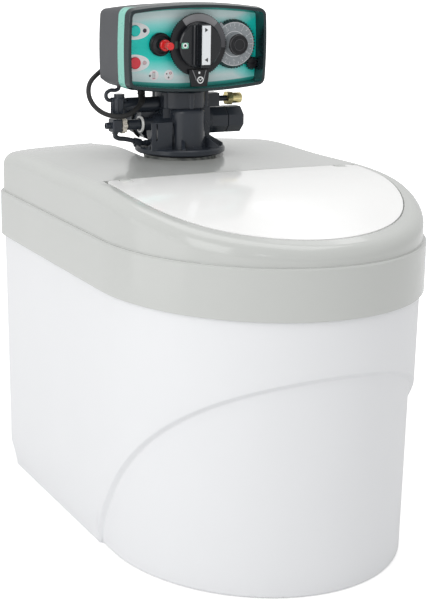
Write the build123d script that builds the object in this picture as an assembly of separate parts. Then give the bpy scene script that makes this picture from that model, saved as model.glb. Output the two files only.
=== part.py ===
from build123d import *
import os
from math import acos, cos, degrees, pi, radians, sin, tan

os.makedirs("parts", exist_ok=True)

# A compact cabinet water softener.
# The origin is on the floor under the middle of the cabinet, the front is towards -Y.

# Cabinet as a whole
WIDTH = 320.0
DEPTH = 498.0
FRONT_BOW = 181.5
REAR_CORNER = 44.0
SKIRT_Z = 265.0
RIDGE_Z = 312.5
DECK_Z = 360.0

# Shared clearances and the length by which a cutting shape runs past what it cuts
OVERRUN = 5.0
RUNNING = 0.05
LOOSE = 0.3
CONTACT = 0.1

# Tub
TUB_WALL = 3.0
TUB_INSET_FLOOR = 7.1
TUB_INSET_TOP = 3.6
TUB_TOP_Z = 300.0
PANEL_RECESS = 4.9
REAR_TUCK = 42.0
ARCH_PEAK_Z = 214.5
# The arch in side view: shares of the bow's depth in front of its centre and of the peak's height
ARCH_FOOT_SHARES = (-0.145, 0.0)
ARCH_KNEE_SHARES = (-0.083, 0.187)
ARCH_MIDDLE_SHARES = (0.455, 0.714)
ARCH_PEAK_SHARES = (0.975, 1.0)

# Cover
COVER_WALL = 3.0
RIDGE_STEP = 3.5
RIDGE_ROUND = 1.5
SHOULDER = 14.0
SHOULDER_WALL_INSET = 14.0
DECK_CLEAR = 70.0
DECK_CREST_SHARE = 1.02
# Height of the deck at each station: share of the depth from the middle, then the height of its
# middle line and of its edges as shares of the rise from the ridge to the deck
DECK_STATION_SHARES = (
    (0.53, 1.010, 0.790),
    (0.37, 1.020, 0.910),
    (0.16, 1.020, 0.950),
    (-0.035, 1.020, 0.980),
    (-0.125, 1.000, 0.945),
    (-0.258, 0.817, 0.735),
    (-0.397, 0.510, 0.425),
    (-0.530, 0.170, 0.085),
)
CHANNEL_HALF = 46.0
CHANNEL_FLOOR_Z = 318.0
NECK_HOLE = 41.0
HOSE_HOLE = 6.0

# Salt lid and its hinge
LID_HALF = 138.0
LID_BOW = 155.0
LID_REAR = 41.0
LID_CORNER = 10.0
LID_THICK = 3.0
LID_PROUD = 0.4
LID_GAP = 1.2
LID_LEDGE = 9.0
LID_SEAT_GAP = 0.3
LID_RIB_INSET = 12.0
LID_RIB_DEEP = 5.0
LID_RIB_THICK = 2.5
LEDGE_THICK = 3.0
BEAD_RADIUS = 4.2
BEAD_DROP = 1.1
BEAD_HALF = 112.0
LID_REAR_ROUND = 5.6
GROOVE_RADIUS = 6.3
GROOVE_WALL = 2.3
HINGE_PIN_RADIUS = 2.0
HINGE_PIN_REACH = 8.0
HINGE_BOSS_LENGTH = 12.0
HINGE_BOSS_RADIUS = 4.6
HINGE_BOSS_GAP = 0.5

# Resin tank
VALVE_Y = 98.0
TANK_RADIUS = 92.0
TANK_WALL = 3.0
TANK_BASE_Z = 8.0
TANK_LOW_Z = 48.0
TANK_HIGH_Z = 262.0
TANK_RISE = 54.9
NECK_RADIUS = 38.0
NECK_BORE = 30.5
NECK_TOP_Z = 361.5
FOOT_RADIUS = 90.0
FOOT_TOP_Z = 38.0
FOOT_HOLLOW = 62.0
BED_TOP_Z = 215.0
RISER_RADIUS = 13.35
RISER_BORE = 11.5
RISER_LOW_Z = 30.0
RISER_TOP_Z = 371.0
STRAINER_RADIUS = 21.0
STRAINER_LOW_Z = 12.5
STRAINER_TOP_Z = 62.0
STRAINER_WALL = 2.0
STRAINER_SLOTS = 16
STRAINER_SLOT = 1.2
TOP_STRAINER_RADIUS = 28.0
TOP_STRAINER_LOW_Z = 318.0
TOP_STRAINER_WALL = 3.0
STRAINER_FLOOR = 2.0
SLOT_END = 6.0
SEAL_OUTER = 37.0
SEAL_INNER = 31.5

# Brine well and what hangs in it
WELL_X = -80.0
WELL_Y = -88.0
WELL_RADIUS = 38.0
WELL_WALL = 2.5
WELL_TOP_Z = 318.0
WELL_PORT_RADIUS = 5.0
WELL_PORT_Z = 40.0
WELL_PORTS = 4
CAP_THICK = 2.5
CAP_SKIRT = 10.0
CAP_KNOB_RADIUS = 9.0
CAP_KNOB_HIGH = 5.0
FLOAT_X = 15.0
FLOAT_RADIUS = 17.0
FLOAT_LOW_Z = 95.0
FLOAT_TALL = 42.0
FLOAT_EDGE = 3.0
ROD_RADIUS = 2.0
ROD_LOW_Z = 60.0
STOP_RADIUS = 5.0
STOP_TALL = 4.0
PICKUP_X = -19.0
PICKUP_RADIUS = 5.0
PICKUP_BORE = 3.5
CHECK_RADIUS = 9.0
CHECK_LOW_Z = 8.0
CHECK_TALL = 42.0
CHECK_WINDOWS = 4
CHECK_WINDOW_WIDE = 5.0
SAFETY_LOW_Z = 284.0
SAFETY_TOP_Z = 306.0
SAFETY_HALF_Y = 12.0
SAFETY_HALF_X = 27.0
SAFETY_EDGE = 2.0
BARB_RADIUS = 4.6
BARB_END_Y = -46.0
BARB_Z = 296.0
HOSE_RADIUS = 4.0
# Brine hose: from the safety valve, round the tank, through the cover's channel to the valve
HOSE_ROUTE = (
    (-99.0, -45.9, 296.0),
    (-99.0, -24.0, 296.0),
    (-103.5, 12.0, 298.0),
    (-107.0, 52.0, 301.5),
    (-104.0, 89.0, 306.0),
    (-92.0, 125.0, 313.0),
    (-70.0, 150.0, 320.5),
    (-43.0, 161.0, 328.0),
    (-20.0, 163.0, 334.0),
    (-4.0, 160.0, 345.0),
    (0.0, 157.0, 358.5),
    (0.0, 152.0, 371.0),
    (0.0, 142.5, 378.0),
    (0.0, 131.5, 378.0),
)
HOSE_WALL_Y = 158.5
HOSE_WALL_Z = 326.5

# Valve
FLANGE_RADIUS = 47.5
FLANGE_LOW_Z = 363.9
FLANGE_TOP_Z = 370.5
FLANGE_EDGE = 1.5
SPIGOT_LOW_Z = 341.0
COLUMN_Y = 82.0
COLUMN_RADIUS = 19.0
COLUMN_TOP_Z = 411.0
CORE_HALF = 27.0
CORE_REAR = 22.0
CORE_WALL = 3.0
COLUMN_ROUND = 4.0
RIB_THICK = 3.0
RIB_TOP_Z = 402.0
RIB_REACH = 16.0
RIB_ANGLES = (200.0, 250.0, 310.0, 345.0)
RIB_SLOPE_SHARE = 0.35
BARREL_Y = 92.0
BARREL_Z = 388.0
BARREL_RADIUS = 16.5
BARREL_LEFT = 29.0
BARREL_DOME = 8.0
BRACKET_LEFT = 44.0
BRACKET_FRONT_Y = 72.0
BRACKET_THICK = 3.0
BRACKET_TOP_Z = 398.0
BRACKET_SLOT_X = 38.5
BRACKET_SLOT = 2.4
BRACKET_SLOT_LOW_Z = 379.0
RIGHT_BARREL_RADIUS = 15.0
BARREL_RIGHT = 31.0
PISTON_BORE = 10.0
PISTON_RADIUS = 9.75
PISTON_RIGHT = 22.6
PISTON_LENGTH = 34.0
PISTON_GROOVE_RADIUS = 8.1
PISTON_GROOVE = 2.6
PISTON_RING = 2.4
PISTON_RING_OUTER = 9.95
PISTON_RINGS = 3
PASSAGE = 8.0
RISER_SOCKET_Z = 372.0
HOSE_PORT_Z = 378.0
HOSE_PORT_Y = 131.4
BONNET_RADIUS = 27.0
BONNET_TOP_Z = 428.8
BONNET_EDGE = 1.5
BONNET_NECK = 24.0
BONNET_NECK_TALL = 4.0
BONNET_PAD_RADIUS = 12.0
BONNET_RIBS = 6
BONNET_RIB_OUT = 2.6
BONNET_RIB_RADIUS = 3.2
SCREW_RADIUS = 2.6
BONNET_SCREW_PITCH = 22.5
BONNET_SCREWS = 6
SCREW_HEAD_TALL = 2.2
SCREW_RECESS = 2.4
SCREW_SLOT = 0.9
SCREW_SLOT_DEEP = 1.0
CAP_FLATS = 13.5
CAP_Z = 395.5
CAP_Y = 97.0
CAP_RIGHT = 69.0
CAP_SEAM_X = 50.0
CAP_SEAM_WIDE = 1.2
CAP_SEAM_DEEP = 1.5
CAP_SPIGOT = 8.0
CAP_EDGE = 1.5
CAP_SIDES = 8

# Drain connection on the right
DRAIN_Z = 417.3
DRAIN_Y = 97.0
DRAIN_FOOT_LEFT = 20.0
DRAIN_BLOCK_LEFT = 27.6
DRAIN_BLOCK_RIGHT = 42.0
DRAIN_BLOCK_HALF = 7.0
DRAIN_BLOCK_LOW_Z = 410.0
DRAIN_BLOCK_TOP_Z = 424.0
DRAIN_FOOT_LOW_Z = 400.0
DRAIN_STEM_RADIUS = 3.0
DRAIN_HEX_X = 53.0
DRAIN_HEX_LENGTH = 6.0
DRAIN_HEX_FLATS = 6.5
DRAIN_NUT_RADIUS = 5.6
DRAIN_NUT_LENGTH = 11.5
DRAIN_NUT_EDGE = 0.8
DRAIN_BORE = 1.6
DRAIN_SOCKET = 4.0

# Brine fitting on the left, along the X axis
BRINE_Y = 92.0
BRINE_Z = 394.7
BOSS_RADIUS = 6.8
BOSS_LEFT = 50.0
CLIP_RADIUS = 8.4
CLIP_RIGHT = 47.4
CLIP_WIDE = 2.2
CLIP_MOUTH = 9.0
BRINE_BARREL_RADIUS = 5.3
BRINE_BARREL_LEFT = 65.4
BRINE_BARREL_EDGE = 2.5
STAR_LEFT = 70.4
STAR_RIGHT = 65.8
STAR_RADIUS = 8.7
STAR_CORE_RADIUS = 7.0
STAR_LOBE_RADIUS = 1.9
STAR_RING_RADIUS = 3.6
STAR_RING_DEEP = 0.8
STAR_LOBES = 8
SPINDLE_RADIUS = 2.0
SPINDLE_LEFT = 74.0
BRINE_BOX_RIGHT = 71.0
BRINE_BOX_LEFT = 81.5
BRINE_BOX_HALF = 6.8
BRINE_BOX_EDGE = 1.0
BRINE_STUB_LEFT = 87.0
BRINE_STUB_RADIUS = 3.4
BRINE_STUB_BORE = 2.0
TUBE_RADIUS = 2.5
NIPPLE_RADIUS = 3.2
LINK_ROUTE = (
    (-75.0, 95.5, 385.4),
    (-75.0, 95.5, 382.6),
    (-71.0, 95.6, 380.4),
    (-63.0, 96.0, 379.6),
    (-54.0, 96.0, 377.2),
    (-47.0, 96.0, 374.4),
    (-41.1, 96.0, 374.4),
)
LINK_NIPPLE_LENGTH = 12.0
TUBE_CLIP_X = 50.0
TUBE_CLIP_Y = 96.0
TUBE_CLIP_Z = 376.0
TUBE_CLIP_HALF = 3.8
TUBE_CLIP_SLANT = 16.0
TUBE_CLIP_LOW_Z = 371.0
TUBE_CLIP_LEG = 2.4

# Injector housing on the upper left
ARM_Z = 414.0
ARM_RADIUS = 8.0
ARM_WEB_HALF = 3.0
ARM_WEB_LEFT = 46.0
INJECTOR_X = -69.5
INJECTOR_Y = 98.0
INJECTOR_RADIUS = 7.6
INJECTOR_LOW_Z = 404.5
INJECTOR_TOP_Z = 422.0
INJECTOR_CAP_TALL = 4.0
INJECTOR_CAP_RADIUS = 5.5
INJECTOR_RIBS = 10
INJECTOR_RIB_OUT = 1.2
INJECTOR_RIB_WIDE = 2.0
PILOT_RADIUS = 2.0
PILOT_ROUTE = (
    (-78.6, 98.0, 420.0),
    (-81.6, 98.0, 420.0),
    (-84.2, 98.0, 422.8),
    (-84.2, 98.0, 427.4),
    (-79.6, 98.0, 430.4),
    (-73.4, 98.0, 429.8),
    (-70.0, 98.0, 431.4),
    (-70.0, 98.0, 434.4),
)
PILOT_NIPPLE_RADIUS = 2.8
PILOT_NIPPLE_LENGTH = 8.0

# Ports at the rear
PORT_X = 22.0
PORT_Z = 392.0
PORT_RADIUS = 16.6
PORT_PITCH = 2.309
PORT_THREAD_DEEP = 1.1
PORT_THREADS = 8
PORT_COLLAR = 18.5
PORT_SOCKET = 14.0
PORT_SOCKET_DEEP = 14.0
PORT_START_Y = 112.0
PORT_COLLAR_Y = 134.0
PORT_SHOULDER = 2.0
PORT_BORE = 10.0
PORT_DUCT = 4.0
PORT_DUCT_X = 18.0
PORT_CLIP_Y = 128.0
PORT_CLIP_WIDE = 3.0
PORT_CLIP_RADIUS = 20.5
PORT_CLIP_MOUTH = 22.0

# Timer box
TIMER_WIDTH = 158.6
TIMER_HEIGHT = 90.0
TIMER_END_HEIGHT = 79.3
TIMER_SIDE_BOW = 1.5
TIMER_CORNER = 9.0
TIMER_Z = 474.2
TIMER_FRONT_Y = 54.8
PANEL_Y = 72.8
PANEL_THICK = 2.0
TIMER_BACK_Y = 135.5
HOOD_RIM = 4.4
HOOD_DRAFT = 1.4
HOOD_EDGE = 0.6
TRIM_FRONT_Y = 63.8
TRIM_BACK_Y = 79.5
TRIM_THICK = 1.6
PANEL_GAP = 0.1
HOUSING_DRAFT = 2.2
HOUSING_LOW_Z = 434.5
HOUSING_WALL = 2.5
HOUSING_EDGE = 3.0
HOUSING_CHAMFER_START = 116.0
HOUSING_CHAMFER_RISE = 6.0
BEARING_RADIUS = 8.0
BEARING_FRONT_Y = 118.5
TIMER_SCREW_X = 66.0
TIMER_SCREW_LOW_Z = 456.0
TIMER_SCREW_TOP_Z = 503.0

# Programme disc and knob
PROG_X = 2.9
PROG_Z = 477.0
DISC_RADIUS = 32.0
DISC_TOOTH = 1.1
DISC_TEETH = 80
DISC_FRONT_Y = 62.8
DISC_THICK = 3.0
KNOB_RADIUS = 23.5
KNOB_FRONT_Y = 56.3
KNOB_EDGE = 1.2
BAR_HALF = 5.1
BAR_TALL = 21.8
BAR_CORNER = 1.2
BAR_FOOT_HALF = 8.6
BAR_FOOT_CORNER = 3.0
BAR_FOOT_PROUD = 1.6
BAR_FOOT_EDGE = 1.0
BAR_FRONT_Y = 44.8
BAR_EDGE = 0.4
STRIP_HALF = 4.7
STRIP_TALL = 19.6
STRIP_CORNER = 0.4
STRIP_RISE = 1.0
STRIP_THICK = 0.6
WINDOW_X = -18.2
WINDOW_HALF = 3.9
WINDOW_TALL = 3.0
WINDOW_PROUD = 0.4
SHAFT_RADIUS = 4.0
SHAFT_FRONT_Y = 59.5
SHAFT_BACK_Y = 122.0
POINTER_TOP_HALF = 11.5
POINTER_LOW_HALF = 8.9
POINTER_LOW_Z = 435.3
POINTER_FRONT_Y = 59.1
POINTER_THICK = 3.0
POINTER_GAP = 1.2
POINTER_POST = 2.0
POINTER_POST_Z = 439.5

# Gears and cams behind the panel
GEAR_MODULE = 1.0
GEAR_TIP = 0.75
GEAR_ROOT = 1.0
TOOTH_TIP_SHARE = 0.10
TOOTH_ROOT_SHARE = 0.30
PROG_GEAR_TEETH = 60
MOTOR_PINION_TEETH = 12
GEAR_THICK = 4.0
PROG_GEAR_BACK_Y = 89.5
CAM_FIRST_Y = 93.5
CAM_PITCH = 5.5
CAM_THICK = 3.0
CAM_RADIUS = 17.0
CAM_NOTCH = 5.0
CAMS = 3
MOTOR_RADIUS = 17.5
MOTOR_FRONT_Y = 91.0
MOTOR_BACK_Y = 108.0
MOTOR_ANGLE = 200.0
MOTOR_EAR = 21.0
MOTOR_EAR_HALF = 4.0
MOTOR_EAR_THICK = 1.5
MOTOR_EAR_ANGLES = (160.0, 250.0)
MOTOR_POST = 2.4
PINION_SHAFT = 2.0
PINION_SHAFT_BACK_Y = 98.5

# Clock dial and setting wheel
CLOCK_X = 46.2
CLOCK_Z = 476.6
CLOCK_TEETH = 49
SETTER_TEETH = 12
SETTER_ANGLE = 318.0
CLOCK_GEAR_BACK_Y = 72.3
CLOCK_GEAR_THICK = 4.2
DIAL_RADIUS = 22.5
DIAL_BACK_Y = 68.0
DIAL_THICK = 1.6
DIAL_POINTER_HALF = 2.6
DIAL_POINTER_REACH = 27.5
DIAL_POINTER_ANGLE = 130.0
CLOCK_HUB_RADIUS = 10.8
CLOCK_HUB_FRONT_Y = 55.5
CLOCK_HUB_EDGE = 0.8
CLOCK_CORE_RADIUS = 8.4
CLOCK_CAP_THICK = 2.6
CLOCK_STEP_RADIUS = 7.4
CLOCK_STEP_PROUD = 0.8
SETTER_POCKET_GAP = 0.5
CLOCK_AXLE_RADIUS = 3.0
SETTER_AXLE_RADIUS = 2.0
AXLE_BACK_Y = 78.5
SETTER_SLOT = 1.2

# Plunger, buttons and lenses
PLUNGER_X = -35.9
PLUNGER_Z = 477.6
COLLAR_RADIUS = 11.8
COLLAR_FRONT_Y = 68.0
COLLAR_EDGE = 1.4
COLLAR_CONE_WIDE = 9.4
COLLAR_CONE_NARROW = 6.9
COLLAR_CONE_FRONT_Y = 66.2
COLLAR_TUBE_RADIUS = 6.4
COLLAR_TUBE_FRONT_Y = 60.5
PLUNGER_BASE_RADIUS = 5.7
PLUNGER_TIP_RADIUS = 3.8
PLUNGER_STEP_Y = 57.5
PLUNGER_TIP_Y = 45.5
PLUNGER_BACK_Y = 81.5
PLUNGER_EDGE = 0.6
BUTTON_X = -63.3
START_Z = 491.6
STOP_Z = 459.5
START_RADIUS = 5.5
STOP_BUTTON_RADIUS = 5.9
BUTTON_PROUD = 2.2
BUTTON_BACK_Y = 79.5
FLANGE_OUT = 1.5
FLANGE_THICK = 1.5
LENS_X = -52.5
LENS_RADIUS = 2.0
LENS_PROUD = 0.8
SWITCH_HALF_X = 8.0
SWITCH_LOW_Z = 449.0
SWITCH_TOP_Z = 500.0
SWITCH_FRONT_Y = 83.5
SWITCH_BACK_Y = 95.5
SWITCH_PIN_RADIUS = 1.5
SWITCH_PIN_FRONT_Y = 81.3
SWITCH_POST_X = 5.5
SWITCH_POST_Z = 474.4

# Terminal board at the rear of the timer
BOARD_HALF_X = 66.0
BOARD_LOW_Z = 452.0
BOARD_TOP_Z = 506.0
BOARD_THICK = 1.6
BOARD_FRONT_Y = 126.0
BOARD_POST_RADIUS = 3.0
BOARD_POST_X = 58.0
BOARD_POST_LOW_Z = 460.0
BOARD_POST_TOP_Z = 498.0
BOARD_HOLE = 9.0
TERMINALS = 8
TERMINAL_PITCH = 8.0
TERMINAL_X = 22.0
TERMINAL_TOP_Z = 504.0
TERMINAL_TALL = 9.0
TERMINAL_DEEP = 9.0
TERMINAL_WIDE = 7.0

# Cable loop: out of the timer's back, round the left side and up into its underside
CABLE_RADIUS = 2.5
GLAND_RADIUS = 4.6
GLAND_FLANGE = 6.0
GLAND_FLANGE_THICK = 1.5
GLAND_INSIDE = 4.0
CABLE_ROUTE = (
    (-36.0, 141.0, 463.0),
    (-36.0, 151.5, 463.0),
    (-46.0, 157.0, 456.5),
    (-58.5, 158.0, 448.0),
    (-71.0, 154.5, 440.5),
    (-81.5, 146.5, 434.5),
    (-88.5, 135.5, 428.0),
    (-92.5, 123.5, 420.5),
    (-92.5, 110.5, 413.0),
    (-88.5, 96.5, 407.0),
    (-80.0, 83.5, 404.5),
    (-68.0, 77.5, 406.0),
    (-56.5, 79.5, 413.5),
    (-49.5, 84.0, 420.0),
    (-47.5, 92.0, 425.0),
    (-47.5, 92.0, 430.0),
)
CORNER_SHARE = 0.45

# Values worked out from the ones above
BOW_Y = FRONT_BOW - DEPTH / 2
DECK_RISE = DECK_Z - RIDGE_Z
BASE = (Align.CENTER, Align.CENTER, Align.MIN)
CORNER = (Align.MIN, Align.MIN, Align.MIN)
X_DIR = (1, 0, 0)
Y_DIR = (0, 1, 0)
Z_DIR = (0, 0, 1)
FRONT_DIR = (0, -1, 0)
LEFT_DIR = (-1, 0, 0)


def rod(start, direction, length, radius):
    """A cylinder from a point along a direction."""
    return Plane(origin=start, z_dir=direction) * Cylinder(radius, length, align=BASE)


def block(low, high):
    """A box between two corners."""
    size = [b - a for a, b in zip(low, high)]
    return Pos(*low) * Box(*size, align=CORNER)


def upright(x, y, low, high, radius):
    """A vertical cylinder between two heights."""
    return rod((x, y, low), Z_DIR, high - low, radius)


def facing(x, y, z):
    """A plane that looks to the front, with its own x to the right and its own y up."""
    return Plane(origin=(x, y, z), x_dir=X_DIR, z_dir=FRONT_DIR)


def plate(face, back_y, front_y, x=0, z=0):
    """A flat face in front view, extruded from its back to its front."""
    return facing(x, back_y, z) * extrude(face, back_y - front_y)


def rounded_tip(start, direction, length, radius, edge):
    """A cylinder whose far edge is chamfered."""
    body = Cylinder(radius, length, align=BASE)
    body = chamfer(body.edges().sort_by(Axis.Z)[-1], edge)
    return Plane(origin=start, z_dir=direction) * body


def footprint(inset):
    """The cabinet's plan outline, moved inwards by an inset."""
    half = WIDTH / 2 - inset
    back = DEPTH / 2 - inset
    corner = REAR_CORNER - inset
    front = EllipticalCenterArc((0, BOW_Y), half, FRONT_BOW - inset, 180, arc_size=180)
    right = Line((half, BOW_Y), (half, back - corner))
    right_corner = CenterArc((half - corner, back - corner), corner, 0, 90)
    rear = Line((half - corner, back), (corner - half, back))
    left_corner = CenterArc((corner - half, back - corner), corner, 90, 90)
    left = Line((-half, back - corner), (-half, BOW_Y))
    return make_face([front, right, right_corner, rear, left_corner, left])


def drafted(floor_inset, top_inset, low, high):
    """The cabinet's outline with draft, between two heights."""
    span = TUB_TOP_Z
    slope = (top_inset - floor_inset) / span
    low_face = Pos(0, 0, low) * footprint(floor_inset + slope * low)
    high_face = Pos(0, 0, high) * footprint(floor_inset + slope * high)
    return loft([low_face, high_face])


def side_prism(lines):
    """A closed outline in side view, as (y, z), run right across the cabinet."""
    face = make_face(lines)
    reach = WIDTH / 2 + OVERRUN
    plane = Plane(origin=(-reach, 0, 0), x_dir=Y_DIR, z_dir=X_DIR)
    return plane * extrude(face, 2 * reach)


def arch_region(grow):
    """All that lies in front of and below the arch, in side view."""
    def place(shares):
        return (BOW_Y - FRONT_BOW * shares[0] + grow, ARCH_PEAK_Z * shares[1] + grow)
    foot = (place(ARCH_FOOT_SHARES)[0], -OVERRUN)
    knee = place(ARCH_KNEE_SHARES)
    middle = place(ARCH_MIDDLE_SHARES)
    peak = place(ARCH_PEAK_SHARES)
    front = (-DEPTH / 2 - OVERRUN, peak[1] + OVERRUN)
    low = (front[0], foot[1])
    upper = ThreePointArc(knee, middle, peak)
    lower = TangentArc(knee, foot, tangent=upper % 0 * -1)
    return side_prism([upper, Line(peak, front), Line(front, low), Line(low, foot), lower])


def tuck(extra):
    """What is cut away under the rounded rear edge, moved inwards by extra."""
    rear = DEPTH / 2 - TUB_INSET_FLOOR - extra
    radius = REAR_TUCK - extra
    centre_y = DEPTH / 2 - TUB_INSET_FLOOR - REAR_TUCK
    arc = CenterArc((centre_y, REAR_TUCK), radius, 270, 90)
    far = DEPTH / 2 + OVERRUN
    low = extra - OVERRUN
    lines = [
        arc,
        Line((rear, REAR_TUCK), (far, REAR_TUCK)),
        Line((far, REAR_TUCK), (far, low)),
        Line((far, low), (centre_y, low)),
        Line((centre_y, low), (centre_y, extra)),
    ]
    return side_prism(lines)


def tub():
    recess = PANEL_RECESS
    outer = drafted(TUB_INSET_FLOOR, TUB_INSET_TOP, 0, TUB_TOP_Z)
    low = drafted(TUB_INSET_FLOOR + recess, TUB_INSET_TOP + recess, 0, TUB_TOP_Z)
    arch = arch_region(0)
    body = (outer - arch) + (low & arch)
    inner = drafted(TUB_INSET_FLOOR + TUB_WALL, TUB_INSET_TOP + TUB_WALL, TUB_WALL, TUB_TOP_Z + OVERRUN)
    deep = recess + TUB_WALL
    inner_low = drafted(TUB_INSET_FLOOR + deep, TUB_INSET_TOP + deep, TUB_WALL, TUB_TOP_Z + OVERRUN)
    inner_arch = arch_region(TUB_WALL)
    hollow = (inner - inner_arch) + (inner_low & inner_arch)
    return (body - tuck(0)) - (hollow - tuck(TUB_WALL))


def above_deck(shift):
    """All that lies above the cover's top surface, moved up by a shift."""
    sections = []
    half = WIDTH / 2 + OVERRUN
    for y_share, middle_share, edge_share in DECK_STATION_SHARES:
        middle = RIDGE_Z + DECK_RISE * middle_share + shift
        edge = RIDGE_Z + DECK_RISE * edge_share + shift
        high = DECK_Z + DECK_CLEAR
        arc = ThreePointArc((-half, edge), (0, middle), (half, edge))
        sides = Polyline((half, edge), (half, high), (-half, high), (-half, edge))
        plane = Plane(origin=(0, DEPTH * y_share, 0), x_dir=X_DIR, z_dir=FRONT_DIR)
        sections.append(plane * make_face([arc, sides]))
    return loft(sections)


def lid_outline(inset):
    """The lid's plan outline, concentric with the cabinet's front."""
    half = LID_HALF - inset
    rear = BOW_Y + LID_REAR - inset
    corner = LID_CORNER
    front = EllipticalCenterArc((0, BOW_Y), half, LID_BOW - inset, 180, arc_size=180)
    right = Line((half, BOW_Y), (half, rear - corner))
    right_corner = CenterArc((half - corner, rear - corner), corner, 0, 90)
    back = Line((half - corner, rear), (corner - half, rear))
    left_corner = CenterArc((corner - half, rear - corner), corner, 90, 90)
    left = Line((-half, rear - corner), (-half, BOW_Y))
    return make_face([front, right, right_corner, back, left_corner, left])


def prism(face, low, high):
    """A plan outline between two heights."""
    return Pos(0, 0, low) * extrude(face, high - low)


HINGE_Y = BOW_Y + LID_REAR - BEAD_RADIUS
HINGE_Z = RIDGE_Z + DECK_RISE * DECK_CREST_SHARE + LID_PROUD - BEAD_RADIUS - BEAD_DROP
LID_SEAT = LID_THICK - LID_PROUD + LID_SEAT_GAP
WORK_HIGH_Z = DECK_Z + DECK_CLEAR / 2


def channel_block(half, floor):
    """The rear channel's plan, round at the valve and open at the rear, from a height upwards."""
    far = DEPTH / 2 + OVERRUN
    straight = block((-half, VALVE_Y, floor), (half, far, WORK_HIGH_Z))
    return straight + upright(0, VALVE_Y, floor, WORK_HIGH_Z, half)


def cover_outside():
    skirt = prism(footprint(0), SKIRT_Z, RIDGE_Z)
    skirt = chamfer(skirt.faces().sort_by(Axis.Z)[-1].edges(), RIDGE_ROUND)
    upper = prism(footprint(RIDGE_STEP), RIDGE_Z - RIDGE_ROUND, WORK_HIGH_Z) - above_deck(0)
    low = RIDGE_Z + RIDGE_ROUND
    shoulder = [e for e in upper.edges() if e.center().Z > low and e.bounding_box().size.Z < DECK_RISE]
    return skirt + fillet(shoulder, SHOULDER)


def hinge_bosses():
    start = BEAD_HALF + HINGE_BOSS_GAP
    bosses = []
    for side in (-1, 1):
        direction = (side, 0, 0)
        boss = rod((side * start, HINGE_Y, HINGE_Z), direction, HINGE_BOSS_LENGTH, HINGE_BOSS_RADIUS)
        reach = GROOVE_RADIUS + GROOVE_WALL / 2
        left = min(side * start, side * (start + HINGE_BOSS_LENGTH))
        foot_low = (left, HINGE_Y - HINGE_BOSS_RADIUS, HINGE_Z - reach)
        foot_high = (left + HINGE_BOSS_LENGTH, HINGE_Y + HINGE_BOSS_RADIUS, HINGE_Z)
        bore = rod((side * (start - OVERRUN), HINGE_Y, HINGE_Z), direction, OVERRUN + HINGE_PIN_REACH,
                   HINGE_PIN_RADIUS)
        bosses.append(boss + block(foot_low, foot_high) - bore)
    return bosses


def cover():
    outside = cover_outside()
    seat_z = TUB_TOP_Z + CONTACT
    upper_inset = RIDGE_STEP + COVER_WALL
    shell = outside - prism(footprint(COVER_WALL), SKIRT_Z - OVERRUN, seat_z)
    wall_hollow = prism(footprint(upper_inset), seat_z - OVERRUN, WORK_HIGH_Z)
    shell -= wall_hollow - above_deck(-COVER_WALL - SHOULDER)
    shell -= prism(footprint(SHOULDER_WALL_INSET), seat_z, WORK_HIGH_Z) - above_deck(-COVER_WALL)
    seat_low = -LID_SEAT - LEDGE_THICK
    ledge = prism(lid_outline(-LID_GAP - LEDGE_THICK), RIDGE_Z, WORK_HIGH_Z) & above_deck(seat_low)
    gutter_half = LID_HALF + LID_GAP
    gutter_start = (-gutter_half, HINGE_Y, HINGE_Z)
    gutter = rod(gutter_start, X_DIR, 2 * gutter_half, GROOVE_RADIUS + GROOVE_WALL)
    channel = channel_block(CHANNEL_HALF + COVER_WALL, CHANNEL_FLOOR_Z - COVER_WALL)
    shell += (ledge + gutter + channel) & outside
    shell -= prism(lid_outline(-LID_GAP), RIDGE_Z, WORK_HIGH_Z) & above_deck(-LID_SEAT)
    shell -= prism(lid_outline(LID_LEDGE), RIDGE_Z, WORK_HIGH_Z)
    shell -= rod(gutter_start, X_DIR, 2 * gutter_half, GROOVE_RADIUS)
    shell -= block((-gutter_half, HINGE_Y, HINGE_Z), (gutter_half, HINGE_Y + GROOVE_RADIUS, WORK_HIGH_Z))
    shell -= channel_block(CHANNEL_HALF, CHANNEL_FLOOR_Z)
    shell -= upright(0, VALVE_Y, CHANNEL_FLOOR_Z - COVER_WALL - OVERRUN, DECK_Z, NECK_HOLE)
    hose_start = (-CHANNEL_HALF - COVER_WALL - OVERRUN, HOSE_WALL_Y, HOSE_WALL_Z)
    shell -= rod(hose_start, X_DIR, COVER_WALL + 2 * OVERRUN, HOSE_HOLE)
    for boss in hinge_bosses():
        shell += boss
    return shell


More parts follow.
